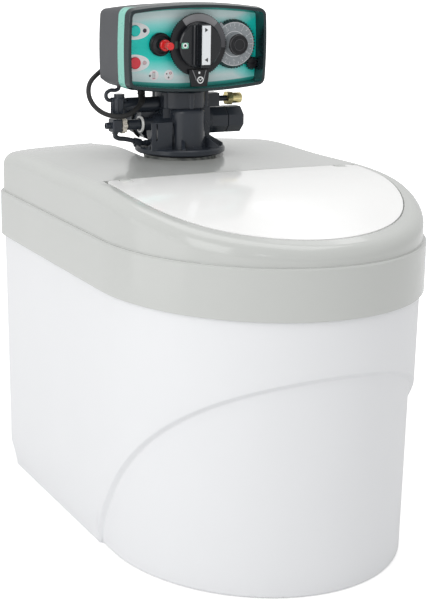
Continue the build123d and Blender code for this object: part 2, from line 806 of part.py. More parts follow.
def salt_lid():
    slab = prism(lid_outline(0), RIDGE_Z, WORK_HIGH_Z) & above_deck(LID_PROUD - LID_THICK)
    slab -= above_deck(LID_PROUD)
    rib = prism(lid_outline(LID_RIB_INSET), RIDGE_Z, WORK_HIGH_Z)
    rib -= prism(lid_outline(LID_RIB_INSET + LID_RIB_THICK), RIDGE_Z, WORK_HIGH_Z)
    rib &= above_deck(LID_PROUD - LID_THICK - LID_RIB_DEEP)
    rib -= above_deck(LID_PROUD - LID_THICK / 2)
    start = (-LID_HALF, HINGE_Y, HINGE_Z)
    behind = block((-LID_HALF, HINGE_Y, RIDGE_Z), (LID_HALF, HINGE_Y + GROOVE_RADIUS, WORK_HIGH_Z))
    slab -= behind - rod(start, X_DIR, 2 * LID_HALF, LID_REAR_ROUND)
    bead = rod((-BEAD_HALF, HINGE_Y, HINGE_Z), X_DIR, 2 * BEAD_HALF, BEAD_RADIUS)
    body = slab + rib + bead
    room = HINGE_BOSS_RADIUS + LID_GAP
    for side in (-1, 1):
        near = side * BEAD_HALF
        far = side * (BEAD_HALF + HINGE_BOSS_LENGTH + 2 * HINGE_BOSS_GAP)
        body -= block((min(near, far), HINGE_Y - room, RIDGE_Z), (max(near, far), HINGE_Y + room, WORK_HIGH_Z))
        pin_start = (side * (BEAD_HALF - HINGE_PIN_REACH - LOOSE), HINGE_Y, HINGE_Z)
        body -= rod(pin_start, (side, 0, 0), HINGE_PIN_REACH + OVERRUN, HINGE_PIN_RADIUS + RUNNING)
    return body


def lid_hinge_pins():
    pins = []
    for side in (-1, 1):
        start = (side * (BEAD_HALF - HINGE_PIN_REACH), HINGE_Y, HINGE_Z)
        length = 2 * HINGE_PIN_REACH + HINGE_BOSS_GAP
        pins.append(rod(start, (side, 0, 0), length, HINGE_PIN_RADIUS))
    return pins


def ring(x, y, low, high, outer, inner):
    """An upright tube between two heights."""
    return upright(x, y, low, high, outer) - upright(x, y, low - OVERRUN, high + OVERRUN, inner)


def vessel(radius, base, rise, neck, top):
    """A closed vessel of revolution with elliptical ends and a neck, on the valve's axis."""
    share_angle = acos(neck / radius)
    lower = EllipticalCenterArc((0, TANK_LOW_Z), radius, TANK_LOW_Z - base, 270, arc_size=90)
    wall = Line((radius, TANK_LOW_Z), (radius, TANK_HIGH_Z))
    upper = EllipticalCenterArc((0, TANK_HIGH_Z), radius, rise, 0, arc_size=degrees(share_angle))
    shoulder = (neck, TANK_HIGH_Z + rise * sin(share_angle))
    rest = Polyline(shoulder, (neck, top), (0, top), (0, base))
    face = make_face([lower, wall, upper, rest])
    return Pos(0, VALVE_Y, 0) * revolve(Plane.XZ * face, Axis.Z)


def resin_tank():
    outer = vessel(TANK_RADIUS, TANK_BASE_Z, TANK_RISE, NECK_RADIUS, NECK_TOP_Z)
    base = TANK_BASE_Z + TANK_WALL
    inner = vessel(TANK_RADIUS - TANK_WALL, base, TANK_RISE - TANK_WALL, NECK_BORE, NECK_TOP_Z + OVERRUN)
    return outer - inner


def tank_foot():
    low = TUB_WALL + CONTACT
    body = ring(0, VALVE_Y, low, FOOT_TOP_Z, FOOT_RADIUS, FOOT_HOLLOW)
    return body - vessel(TANK_RADIUS + CONTACT, TANK_BASE_Z - CONTACT, TANK_RISE, NECK_RADIUS, NECK_TOP_Z)


def resin_bed():
    inset = TANK_WALL + CONTACT
    inner = vessel(TANK_RADIUS - inset, TANK_BASE_Z + inset, TANK_RISE - inset, NECK_BORE, NECK_TOP_Z)
    bed = inner & upright(0, VALVE_Y, 0, BED_TOP_Z, TANK_RADIUS)
    bed -= upright(0, VALVE_Y, 0, STRAINER_TOP_Z + CONTACT, STRAINER_RADIUS + CONTACT)
    return bed - upright(0, VALVE_Y, 0, NECK_TOP_Z, RISER_RADIUS + CONTACT)


def riser_tube():
    return ring(0, VALVE_Y, RISER_LOW_Z, RISER_TOP_Z, RISER_RADIUS, RISER_BORE)


def strainer_slots(radius, wall, low, high):
    """Narrow upright slots through a round wall."""
    slots = []
    for number in range(STRAINER_SLOTS):
        turn = Rot(0, 0, 360 * number / STRAINER_SLOTS)
        near = (radius - wall - LOOSE, -STRAINER_SLOT / 2, low + SLOT_END)
        far = (radius + LOOSE, STRAINER_SLOT / 2, high - SLOT_END)
        slots.append(Pos(0, VALVE_Y, 0) * turn * block(near, far))
    return slots


def bottom_strainer():
    body = upright(0, VALVE_Y, STRAINER_LOW_Z, STRAINER_TOP_Z, STRAINER_RADIUS)
    low = STRAINER_LOW_Z + STRAINER_FLOOR
    high = STRAINER_TOP_Z - STRAINER_FLOOR
    body -= upright(0, VALVE_Y, low, high, STRAINER_RADIUS - STRAINER_WALL)
    body -= upright(0, VALVE_Y, low, STRAINER_TOP_Z + OVERRUN, RISER_RADIUS + RUNNING)
    return body - strainer_slots(STRAINER_RADIUS, STRAINER_WALL, STRAINER_LOW_Z, STRAINER_TOP_Z)


def top_strainer():
    high = SPIGOT_LOW_Z - RUNNING
    body = upright(0, VALVE_Y, TOP_STRAINER_LOW_Z, high, TOP_STRAINER_RADIUS)
    inner_low = TOP_STRAINER_LOW_Z + STRAINER_FLOOR
    body -= upright(0, VALVE_Y, inner_low, high + OVERRUN, TOP_STRAINER_RADIUS - TOP_STRAINER_WALL)
    body -= upright(0, VALVE_Y, 0, NECK_TOP_Z, RISER_RADIUS + CONTACT)
    return body - strainer_slots(TOP_STRAINER_RADIUS, TOP_STRAINER_WALL, TOP_STRAINER_LOW_Z, high)


def neck_seal():
    return ring(0, VALVE_Y, NECK_TOP_Z + RUNNING, FLANGE_LOW_Z - RUNNING, SEAL_OUTER, SEAL_INNER)


def brine_well():
    low = TUB_WALL + CONTACT
    body = upright(WELL_X, WELL_Y, low, WELL_TOP_Z, WELL_RADIUS)
    body -= upright(WELL_X, WELL_Y, low + WELL_WALL, WELL_TOP_Z + OVERRUN, WELL_RADIUS - WELL_WALL)
    for number in range(WELL_PORTS):
        angle = radians(360 * (number + 1 / 2) / WELL_PORTS)
        direction = (cos(angle), sin(angle), 0)
        body -= rod((WELL_X, WELL_Y, WELL_PORT_Z), direction, WELL_RADIUS + OVERRUN, WELL_PORT_RADIUS)
    start = (WELL_X + PICKUP_X, WELL_Y, BARB_Z)
    return body - rod(start, Y_DIR, WELL_RADIUS + OVERRUN, BARB_RADIUS + LOOSE)


def brine_well_cap():
    inner = WELL_RADIUS + LOOSE
    low = WELL_TOP_Z + CONTACT
    body = upright(WELL_X, WELL_Y, low - CAP_SKIRT, low + CAP_THICK, inner + WELL_WALL)
    body -= upright(WELL_X, WELL_Y, low - CAP_SKIRT - OVERRUN, low, inner)
    return body + upright(WELL_X, WELL_Y, low, low + CAP_THICK + CAP_KNOB_HIGH, CAP_KNOB_RADIUS)


def brine_float():
    x = WELL_X + FLOAT_X
    body = upright(x, WELL_Y, FLOAT_LOW_Z, FLOAT_LOW_Z + FLOAT_TALL, FLOAT_RADIUS)
    ends = body.edges().filter_by(GeomType.CIRCLE)
    body = fillet(ends, FLOAT_EDGE)
    return body - upright(x, WELL_Y, 0, WELL_TOP_Z, ROD_RADIUS + RUNNING)


def brine_safety_valve():
    x = WELL_X + FLOAT_X
    low = (WELL_X - SAFETY_HALF_X, WELL_Y - SAFETY_HALF_Y, SAFETY_LOW_Z)
    high = (WELL_X + SAFETY_HALF_X, WELL_Y + SAFETY_HALF_Y, SAFETY_TOP_Z)
    body = fillet(block(low, high).edges().filter_by(Axis.Z), SAFETY_EDGE)
    body += upright(x, WELL_Y, ROD_LOW_Z, SAFETY_LOW_Z + SAFETY_EDGE, ROD_RADIUS)
    stop_z = FLOAT_LOW_Z - CONTACT
    body += upright(x, WELL_Y, stop_z - STOP_TALL, stop_z, STOP_RADIUS)
    start = (WELL_X + PICKUP_X, WELL_Y, BARB_Z)
    return body + rod(start, Y_DIR, BARB_END_Y - WELL_Y, BARB_RADIUS)


def pickup_tube():
    x = WELL_X + PICKUP_X
    high = CHECK_LOW_Z + CHECK_TALL
    tube_body = ring(x, WELL_Y, high - SLOT_END, SAFETY_LOW_Z - RUNNING, PICKUP_RADIUS, PICKUP_BORE)
    cage = upright(x, WELL_Y, CHECK_LOW_Z, high, CHECK_RADIUS)
    cage -= upright(x, WELL_Y, CHECK_LOW_Z + STRAINER_FLOOR, high - SLOT_END, CHECK_RADIUS - STRAINER_WALL)
    cage -= upright(x, WELL_Y, high - SLOT_END - OVERRUN, high + OVERRUN, PICKUP_BORE)
    window_low = CHECK_LOW_Z + SLOT_END
    window_high = high - 2 * SLOT_END
    for number in range(CHECK_WINDOWS):
        turn = Rot(0, 0, 360 * number / CHECK_WINDOWS)
        near = (PICKUP_BORE, -CHECK_WINDOW_WIDE / 2, window_low)
        far = (CHECK_RADIUS + OVERRUN, CHECK_WINDOW_WIDE / 2, window_high)
        cage -= Pos(x, WELL_Y, 0) * turn * block(near, far)
    return tube_body + cage


def tube(points, radius):
    """A round tube or cable along straight runs with tangent bends."""
    corners = []
    for before, here, after in zip(points, points[1:], points[2:]):
        first = Vector(*here) - Vector(*before)
        second = Vector(*after) - Vector(*here)
        half_turn = radians(first.get_angle(second)) / 2
        corners.append(CORNER_SHARE * min(first.length, second.length) / tan(half_turn))
    path = FilletPolyline(*points, radius=corners)
    body = sweep(Plane(origin=path @ 0, z_dir=path % 0) * Circle(radius), path=path)
    section = pi * radius**2
    print("bend radii", [round(r, 1) for r in corners])
    print("volume against section times length", round(body.volume / (section * path.length), 4))
    return body


def brine_hose():
    return tube(HOSE_ROUTE, HOSE_RADIUS)


def c_ring(x, back_y, front_y, z, outer, inner, mouth):
    """A C-shaped spring ring in front view, open at the bottom."""
    face = Circle(outer) - Circle(inner) - Pos(0, -outer) * Rectangle(mouth, 2 * outer)
    return plate(face, back_y, front_y, x, z)


def valve_ribs():
    ribs = []
    for angle in RIB_ANGLES:
        reach = FLANGE_RADIUS - FLANGE_EDGE
        slope = RIB_TOP_Z * RIB_SLOPE_SHARE + FLANGE_TOP_Z * (1 - RIB_SLOPE_SHARE)
        points = (
            (0, FLANGE_TOP_Z - FLANGE_EDGE),
            (reach, FLANGE_TOP_Z - FLANGE_EDGE),
            (reach, FLANGE_TOP_Z + FLANGE_EDGE),
            (reach - RIB_REACH, slope),
            (COLUMN_RADIUS, RIB_TOP_Z),
            (0, RIB_TOP_Z),
        )
        face = make_face(Polyline(*points, close=True))
        rib = Pos(0, RIB_THICK / 2, 0) * extrude(Plane.XZ * face, RIB_THICK)
        ribs.append(Pos(0, VALVE_Y, 0) * Rot(0, 0, angle) * rib)
    return ribs


def valve_flange():
    flange = upright(0, VALVE_Y, FLANGE_LOW_Z, FLANGE_TOP_Z, FLANGE_RADIUS)
    flange = chamfer(flange.edges().filter_by(GeomType.CIRCLE), FLANGE_EDGE)
    return flange + upright(0, VALVE_Y, SPIGOT_LOW_Z, FLANGE_LOW_Z + FLANGE_EDGE, NECK_BORE - LOOSE)


def valve_bracket():
    """The slotted bracket to the left of the column."""
    low = (-BRACKET_LEFT, BRACKET_FRONT_Y, FLANGE_TOP_Z - FLANGE_EDGE)
    high = (-BARREL_LEFT + BARREL_DOME, BRACKET_FRONT_Y + BRACKET_THICK, BRACKET_TOP_Z)
    plate_body = block(low, high)
    half = BRACKET_SLOT / 2
    slot_low = (-BRACKET_SLOT_X - half, BRACKET_FRONT_Y - OVERRUN, BRACKET_SLOT_LOW_Z)
    slot_high = (-BRACKET_SLOT_X + half, BRACKET_FRONT_Y + OVERRUN, BRACKET_TOP_Z - half)
    return plate_body - block(slot_low, slot_high)


def valve_body():
    body = valve_flange()
    column = upright(0, COLUMN_Y, FLANGE_TOP_Z - FLANGE_EDGE, COLUMN_TOP_Z, COLUMN_RADIUS)
    body += fillet(column.faces().sort_by(Axis.Z)[-1].edges(), COLUMN_ROUND)
    core_low = (-CORE_HALF, COLUMN_Y, FLANGE_TOP_Z - FLANGE_EDGE)
    body += block(core_low, (CORE_HALF, VALVE_Y + CORE_REAR, COLUMN_TOP_Z))
    body += upright(0, VALVE_Y, FLANGE_TOP_Z, COLUMN_TOP_Z + BONNET_NECK_TALL, BONNET_NECK)
    for rib in valve_ribs():
        body += rib
    barrel = rod((0, BARREL_Y, BARREL_Z), LEFT_DIR, BARREL_LEFT + BARREL_DOME, BARREL_RADIUS)
    body += fillet(barrel.faces().sort_by(Axis.X)[0].edges(), BARREL_DOME)
    body += rod((0, BRINE_Y, BRINE_Z), LEFT_DIR, BOSS_LEFT, BOSS_RADIUS)
    body += rod((0, CAP_Y, CAP_Z), X_DIR, BARREL_RIGHT, RIGHT_BARREL_RADIUS)
    arm = rod((-CORE_HALF - LOOSE, INJECTOR_Y, ARM_Z), LEFT_DIR, -INJECTOR_X - CORE_HALF - LOOSE, ARM_RADIUS)
    body += arm - upright(INJECTOR_X, INJECTOR_Y, 0, WORK_HIGH_Z + DECK_Z, INJECTOR_RADIUS + CONTACT)
    web_low = (-ARM_WEB_LEFT, INJECTOR_Y - ARM_WEB_HALF, BRINE_Z)
    body += block(web_low, (-CORE_HALF + OVERRUN, INJECTOR_Y + ARM_WEB_HALF, ARM_Z - ARM_RADIUS / 2))
    stem_end = DRAIN_HEX_X + DRAIN_SOCKET
    foot_low = (DRAIN_FOOT_LEFT, DRAIN_Y - DRAIN_BLOCK_HALF, DRAIN_FOOT_LOW_Z)
    body += block(foot_low, (BARREL_RIGHT, DRAIN_Y + DRAIN_BLOCK_HALF, COLUMN_TOP_Z - CONTACT))
    drain_low = (DRAIN_BLOCK_LEFT, DRAIN_Y - DRAIN_BLOCK_HALF, DRAIN_BLOCK_LOW_Z)
    body += block(drain_low, (DRAIN_BLOCK_RIGHT, DRAIN_Y + DRAIN_BLOCK_HALF, DRAIN_BLOCK_TOP_Z))
    body += rod((DRAIN_BLOCK_RIGHT, DRAIN_Y, DRAIN_Z), X_DIR, stem_end - DRAIN_BLOCK_RIGHT, DRAIN_STEM_RADIUS)
    nipple_x = LINK_ROUTE[-1][0] + CONTACT
    nipple_start = (nipple_x, LINK_ROUTE[-1][1], LINK_ROUTE[-1][2])
    body += rod(nipple_start, X_DIR, LINK_NIPPLE_LENGTH, NIPPLE_RADIUS)
    body += valve_bracket()
    body += rod((0, VALVE_Y, HOSE_PORT_Z), Y_DIR, HOSE_PORT_Y - VALVE_Y, BARB_RADIUS)
    for side in (-1, 1):
        start = (side * PORT_X, PORT_START_Y, PORT_Z)
        body += rod(start, Y_DIR, PORT_COLLAR_Y - PORT_START_Y, PORT_COLLAR)
    body -= upright(0, VALVE_Y, 0, RISER_SOCKET_Z, RISER_RADIUS + RUNNING)
    body -= upright(0, VALVE_Y, 0, CAP_Z, PASSAGE)
    bore_left = -CORE_HALF + CORE_WALL
    body -= rod((bore_left, CAP_Y, CAP_Z), X_DIR, BARREL_RIGHT + OVERRUN - bore_left, PISTON_BORE)
    for side in (-1, 1):
        socket = (side * PORT_X, PORT_COLLAR_Y - PORT_SOCKET_DEEP, PORT_Z)
        body -= rod(socket, Y_DIR, PORT_SOCKET_DEEP + OVERRUN, PORT_SOCKET)
        duct = (side * PORT_DUCT_X, CAP_Y, PORT_Z)
        body -= rod(duct, Y_DIR, PORT_COLLAR_Y - CAP_Y, PORT_DUCT)
    stem_bore = (DRAIN_BLOCK_RIGHT, DRAIN_Y, DRAIN_Z)
    return body - rod(stem_bore, X_DIR, stem_end, DRAIN_BORE)


def valve_bonnet():
    low = COLUMN_TOP_Z + CONTACT
    body = upright(0, VALVE_Y, low, BONNET_TOP_Z, BONNET_RADIUS)
    body = chamfer(body.faces().sort_by(Axis.Z)[-1].edges(), BONNET_EDGE)
    for number in range(BONNET_RIBS):
        angle = radians(360 * (number + 1 / 2) / BONNET_RIBS)
        reach = BONNET_RADIUS + BONNET_RIB_OUT - BONNET_RIB_RADIUS
        x = reach * cos(angle)
        y = VALVE_Y + reach * sin(angle)
        body += upright(x, y, low, BONNET_TOP_Z - BONNET_EDGE, BONNET_RIB_RADIUS)
    for number in range(BONNET_SCREWS):
        angle = radians(360 * number / BONNET_SCREWS)
        x = BONNET_SCREW_PITCH * cos(angle)
        y = VALVE_Y + BONNET_SCREW_PITCH * sin(angle)
        body -= upright(x, y, BONNET_TOP_Z - SCREW_RECESS, BONNET_TOP_Z + OVERRUN, SCREW_RADIUS + CONTACT)
    neck_top = COLUMN_TOP_Z + BONNET_NECK_TALL + CONTACT
    body -= upright(0, VALVE_Y, 0, neck_top, BONNET_NECK + CONTACT)
    return body + upright(0, VALVE_Y, BONNET_TOP_Z - BONNET_EDGE, HOUSING_LOW_Z - CONTACT, BONNET_PAD_RADIUS)


def screw(start, direction):
    """A slotted round screw head on a surface."""
    head = Cylinder(SCREW_RADIUS, SCREW_HEAD_TALL, align=BASE)
    slot = block((-SCREW_RADIUS, -SCREW_SLOT / 2, SCREW_HEAD_TALL - SCREW_SLOT_DEEP),
                 (SCREW_RADIUS, SCREW_SLOT / 2, SCREW_HEAD_TALL + OVERRUN))
    return Plane(origin=start, z_dir=direction) * (head - slot)


def screws():
    heads = []
    for number in range(BONNET_SCREWS):
        angle = radians(360 * number / BONNET_SCREWS)
        x = BONNET_SCREW_PITCH * cos(angle)
        y = VALVE_Y + BONNET_SCREW_PITCH * sin(angle)
        heads.append(screw((x, y, BONNET_TOP_Z - SCREW_RECESS + RUNNING), Z_DIR))
    for side in (-1, 1):
        for z in (TIMER_SCREW_LOW_Z, TIMER_SCREW_TOP_Z):
            heads.append(screw((side * TIMER_SCREW_X, TIMER_BACK_Y + RUNNING, z), Y_DIR))
    return heads


def piston():
    left = PISTON_RIGHT - PISTON_LENGTH
    body = rod((left, CAP_Y, CAP_Z), X_DIR, PISTON_LENGTH, PISTON_RADIUS)
    for x in piston_ring_places():
        groove = rod((x - PISTON_GROOVE / 2, CAP_Y, CAP_Z), X_DIR, PISTON_GROOVE, PISTON_RADIUS + OVERRUN)
        inner = rod((x - PISTON_GROOVE, CAP_Y, CAP_Z), X_DIR, 2 * PISTON_GROOVE, PISTON_GROOVE_RADIUS)
        body -= groove - inner
    return body


def piston_ring_places():
    """The middle of each ring along the bore."""
    pitch = PISTON_LENGTH / PISTON_RINGS
    return [PISTON_RIGHT - pitch * (number + 1 / 2) for number in range(PISTON_RINGS)]


def piston_rings():
    rings = []
    for x in piston_ring_places():
        outer = rod((x - PISTON_RING / 2, CAP_Y, CAP_Z), X_DIR, PISTON_RING, PISTON_RING_OUTER)
        hole = PISTON_GROOVE_RADIUS + RUNNING
        rings.append(outer - rod((x - PISTON_RING, CAP_Y, CAP_Z), X_DIR, 2 * PISTON_RING, hole))
    return rings


def along_x(face, left, right, y, z):
    """A face in side view, extruded along X."""
    plane = Plane(origin=(left, y, z), x_dir=Y_DIR, z_dir=X_DIR)
    return plane * extrude(face, right - left)


def right_end_cap():
    face = RegularPolygon(CAP_FLATS, CAP_SIDES, major_radius=False, rotation=180 / CAP_SIDES)
    left = BARREL_RIGHT + RUNNING
    body = along_x(face, left, CAP_RIGHT, CAP_Y, CAP_Z)
    body = chamfer(body.faces().sort_by(Axis.X)[-1].edges(), CAP_EDGE)
    seam_left = CAP_SEAM_X - CAP_SEAM_WIDE / 2
    seam = along_x(Circle(2 * CAP_FLATS), seam_left, seam_left + CAP_SEAM_WIDE, CAP_Y, CAP_Z)
    body -= seam - rod((seam_left, CAP_Y, CAP_Z), X_DIR, CAP_SEAM_WIDE, CAP_FLATS - CAP_SEAM_DEEP)
    return body + rod((left - CAP_SPIGOT, CAP_Y, CAP_Z), X_DIR, CAP_SPIGOT + OVERRUN, PISTON_BORE - RUNNING)


def drain_nut():
    face = RegularPolygon(DRAIN_HEX_FLATS, 6, major_radius=False)
    body = along_x(face, DRAIN_HEX_X, DRAIN_HEX_X + DRAIN_HEX_LENGTH, DRAIN_Y, DRAIN_Z)
    length = DRAIN_HEX_LENGTH + DRAIN_NUT_LENGTH
    body += rounded_tip((DRAIN_HEX_X, DRAIN_Y, DRAIN_Z), X_DIR, length, DRAIN_NUT_RADIUS, DRAIN_NUT_EDGE)
    socket = DRAIN_SOCKET + CONTACT
    body -= rod((DRAIN_HEX_X - OVERRUN, DRAIN_Y, DRAIN_Z), X_DIR, OVERRUN + socket, DRAIN_STEM_RADIUS + RUNNING)
    return body - rod((DRAIN_HEX_X, DRAIN_Y, DRAIN_Z), X_DIR, length + OVERRUN, DRAIN_BORE)


def brine_barrel():
    right = -BOSS_LEFT - CONTACT
    length = BRINE_BARREL_LEFT + right
    body = rounded_tip((right, BRINE_Y, BRINE_Z), LEFT_DIR, length, BRINE_BARREL_RADIUS, BRINE_BARREL_EDGE)
    return body + rod((right, BRINE_Y, BRINE_Z), LEFT_DIR, SPINDLE_LEFT + right, SPINDLE_RADIUS)


def star_wheel():
    right = (-STAR_RIGHT, BRINE_Y, BRINE_Z)
    length = STAR_LEFT - STAR_RIGHT
    body = rod(right, LEFT_DIR, length, STAR_CORE_RADIUS)
    for number in range(STAR_LOBES):
        angle = radians(360 * number / STAR_LOBES)
        reach = STAR_RADIUS - STAR_LOBE_RADIUS
        place = (-STAR_RIGHT, BRINE_Y + reach * cos(angle), BRINE_Z + reach * sin(angle))
        body += rod(place, LEFT_DIR, length, STAR_LOBE_RADIUS)
    body -= rod((-STAR_LEFT + STAR_RING_DEEP, BRINE_Y, BRINE_Z), LEFT_DIR, OVERRUN, STAR_RING_RADIUS)
    return body - rod((0, BRINE_Y, BRINE_Z), LEFT_DIR, BRINE_STUB_LEFT, SPINDLE_RADIUS + RUNNING)


def brine_box():
    low = (-BRINE_BOX_LEFT, BRINE_Y - BRINE_BOX_HALF, BRINE_Z - BRINE_BOX_HALF)
    high = (-BRINE_BOX_RIGHT, BRINE_Y + BRINE_BOX_HALF, BRINE_Z + BRINE_BOX_HALF)
    body = block(low, high)
    body = chamfer(body.edges(), BRINE_BOX_EDGE)
    stub = (-BRINE_BOX_LEFT + OVERRUN, BRINE_Y, BRINE_Z)
    length = BRINE_STUB_LEFT - BRINE_BOX_LEFT + OVERRUN
    body += rod(stub, LEFT_DIR, length, BRINE_STUB_RADIUS)
    body -= rod((stub[0] - OVERRUN, BRINE_Y, BRINE_Z), LEFT_DIR, 2 * OVERRUN, BRINE_STUB_BORE)
    nipple_z = LINK_ROUTE[0][2] + CONTACT
    body += upright(LINK_ROUTE[0][0], LINK_ROUTE[0][1], nipple_z, BRINE_Z, NIPPLE_RADIUS)
    return body - rod((-SPINDLE_LEFT - CONTACT, BRINE_Y, BRINE_Z), X_DIR, OVERRUN, SPINDLE_RADIUS + RUNNING)


def retaining_clip():
    face = Circle(CLIP_RADIUS) - Circle(BOSS_RADIUS + RUNNING)
    face -= Pos(CLIP_RADIUS, 0) * Rectangle(2 * CLIP_RADIUS, CLIP_MOUTH)
    return along_x(face, -CLIP_RIGHT - CLIP_WIDE, -CLIP_RIGHT, BRINE_Y, BRINE_Z)


def link_tube():
    return tube(LINK_ROUTE, TUBE_RADIUS)


def tube_clip():
    turn = Rot(0, TUBE_CLIP_SLANT, 0)
    sleeve = Cylinder(TUBE_CLIP_HALF, TUBE_CLIP_HALF * 2)
    body = Pos(-TUBE_CLIP_X, TUBE_CLIP_Y, TUBE_CLIP_Z) * turn * Rot(0, 90, 0) * sleeve
    for side in (-1, 1):
        x = -TUBE_CLIP_X + side * (TUBE_CLIP_HALF - TUBE_CLIP_LEG / 2)
        low = (x - TUBE_CLIP_LEG / 2, TUBE_CLIP_Y - TUBE_CLIP_LEG / 2, TUBE_CLIP_LOW_Z)
        high = (x + TUBE_CLIP_LEG / 2, TUBE_CLIP_Y + TUBE_CLIP_LEG / 2, TUBE_CLIP_Z)
        body += block(low, high)
    for start, end in zip(LINK_ROUTE, LINK_ROUTE[1:]):
        run = Vector(*end) - Vector(*start)
        piece = rod(start, tuple(run.normalized()), run.length, TUBE_RADIUS + LOOSE)
        piece += Pos(*end) * Sphere(TUBE_RADIUS + LOOSE)
        body -= piece
    return body


def injector_housing():
    high = INJECTOR_TOP_Z
    body = upright(INJECTOR_X, INJECTOR_Y, INJECTOR_LOW_Z, high, INJECTOR_RADIUS)
    for number in range(INJECTOR_RIBS):
        turn = Rot(0, 0, 360 * (number + 1 / 2) / INJECTOR_RIBS)
        near = (0, -INJECTOR_RIB_WIDE / 2, INJECTOR_LOW_Z)
        far = (INJECTOR_RADIUS + INJECTOR_RIB_OUT, INJECTOR_RIB_WIDE / 2, high - INJECTOR_RIB_OUT)
        body += Pos(INJECTOR_X, INJECTOR_Y, 0) * turn * block(near, far)
    body += upright(INJECTOR_X, INJECTOR_Y, high, high + INJECTOR_CAP_TALL, INJECTOR_CAP_RADIUS)
    nipple_x = PILOT_ROUTE[0][0] + CONTACT
    start = (nipple_x, INJECTOR_Y, PILOT_ROUTE[0][2])
    body += rod(start, X_DIR, PILOT_NIPPLE_LENGTH, PILOT_NIPPLE_RADIUS)
    arm_left = (INJECTOR_X, INJECTOR_Y, ARM_Z)
    clear = rod(arm_left, X_DIR, INJECTOR_RADIUS * 2, ARM_RADIUS + CONTACT)
    return body - (clear - upright(INJECTOR_X, INJECTOR_Y, 0, high, INJECTOR_RADIUS))


def pilot_tube():
    return tube(PILOT_ROUTE, PILOT_RADIUS)


def port_adapters():
    adapters = []
    for side in (-1, 1):
        x = side * PORT_X
        inner_y = PORT_COLLAR_Y - PORT_SOCKET_DEEP + LOOSE
        shoulder_y = PORT_COLLAR_Y + PORT_SHOULDER
        body = rod((x, inner_y, PORT_Z), Y_DIR, shoulder_y - inner_y, PORT_SOCKET - RUNNING)
        body += rod((x, PORT_COLLAR_Y + RUNNING, PORT_Z), Y_DIR, PORT_SHOULDER, PORT_COLLAR)
        length = PORT_PITCH * (PORT_THREADS + 1)
        thread = rounded_tip((x, shoulder_y, PORT_Z), Y_DIR, length, PORT_RADIUS, PORT_THREAD_DEEP)
        for number in range(PORT_THREADS):
            y = shoulder_y + PORT_PITCH * (number + 1 / 2)
            outer = rod((x, y, PORT_Z), Y_DIR, PORT_PITCH / 2, PORT_RADIUS + OVERRUN)
            inner = rod((x, y - PORT_PITCH, PORT_Z), Y_DIR, 2 * PORT_PITCH, PORT_RADIUS - PORT_THREAD_DEEP)
            thread -= outer - inner
        body += thread
        adapters.append(body - rod((x, inner_y - OVERRUN, PORT_Z), Y_DIR, length * 3, PORT_BORE))
    return adapters


def port_clips():
    clips = []
    for side in (-1, 1):
        back = PORT_CLIP_Y + PORT_CLIP_WIDE
        inner = PORT_COLLAR + RUNNING
        clip = c_ring(side * PORT_X, back, PORT_CLIP_Y, PORT_Z, PORT_CLIP_RADIUS, inner, PORT_CLIP_MOUTH)
        clips.append(clip)
    return clips


def timer_outline(inset):
    """The timer's front outline with four bowed edges, moved inwards by an inset."""
    half = TIMER_WIDTH / 2 - inset
    side = half - TIMER_SIDE_BOW
    middle = TIMER_HEIGHT / 2 - inset
    end = TIMER_END_HEIGHT / 2 - inset
    top = ThreePointArc((-side, end), (0, middle), (side, end))
    right = ThreePointArc((side, end), (half, 0), (side, -end))
    bottom = ThreePointArc((side, -end), (0, -middle), (-side, -end))
    left = ThreePointArc((-side, -end), (-half, 0), (-side, end))
    face = make_face([top, right, bottom, left])
    return fillet(face.vertices(), TIMER_CORNER - inset)


def timer_hood():
    wide = facing(0, TRIM_FRONT_Y, TIMER_Z) * timer_outline(0)
    narrow = facing(0, TIMER_FRONT_Y, TIMER_Z) * timer_outline(HOOD_DRAFT)
    front = loft([wide, narrow], ruled=True)
    front = chamfer(front.faces().sort_by(Axis.Y)[0].edges(), HOOD_EDGE)
    body = front + plate(timer_outline(TRIM_THICK + RUNNING), TRIM_BACK_Y, TRIM_FRONT_Y, 0, TIMER_Z)
    body -= plate(timer_outline(HOOD_RIM), TRIM_BACK_Y + OVERRUN, TIMER_FRONT_Y - OVERRUN, 0, TIMER_Z)
    x, z = setter_place()
    radius = GEAR_MODULE * SETTER_TEETH / 2 + GEAR_TIP + SETTER_POCKET_GAP
    front_y = CLOCK_GEAR_BACK_Y - CLOCK_GEAR_THICK - SETTER_POCKET_GAP
    return body - rod((x, front_y, z), Y_DIR, PANEL_Y - front_y, radius)


def timer_trim():
    face = timer_outline(0) - timer_outline(TRIM_THICK)
    return plate(face, TRIM_BACK_Y, TRIM_FRONT_Y + RUNNING, 0, TIMER_Z)


def housing_form(inset, back_y, front_y):
    """The housing's outer or inner form, which gets smaller and lower towards the rear."""
    sections = []
    for y in (front_y, back_y):
        draft = HOUSING_DRAFT * (y - TRIM_BACK_Y) / (TIMER_BACK_Y - TRIM_BACK_Y)
        sections.append(facing(0, y, TIMER_Z - draft) * timer_outline(inset + draft))
    return loft(sections, ruled=True)


def housing_wedge(rise):
    """What is cut away under the housing's flat bottom and its lower rear edge."""
    low = HOUSING_LOW_Z + rise
    slope = HOUSING_CHAMFER_RISE / (TIMER_BACK_Y - HOUSING_CHAMFER_START)
    far = TIMER_BACK_Y + OVERRUN
    near = TRIM_BACK_Y - OVERRUN
    points = (
        (near, low),
        (HOUSING_CHAMFER_START, low),
        (far, low + slope * (far - HOUSING_CHAMFER_START)),
        (far, TIMER_Z - TIMER_HEIGHT),
        (near, TIMER_Z - TIMER_HEIGHT),
    )
    return side_prism(Polyline(*points, close=True))


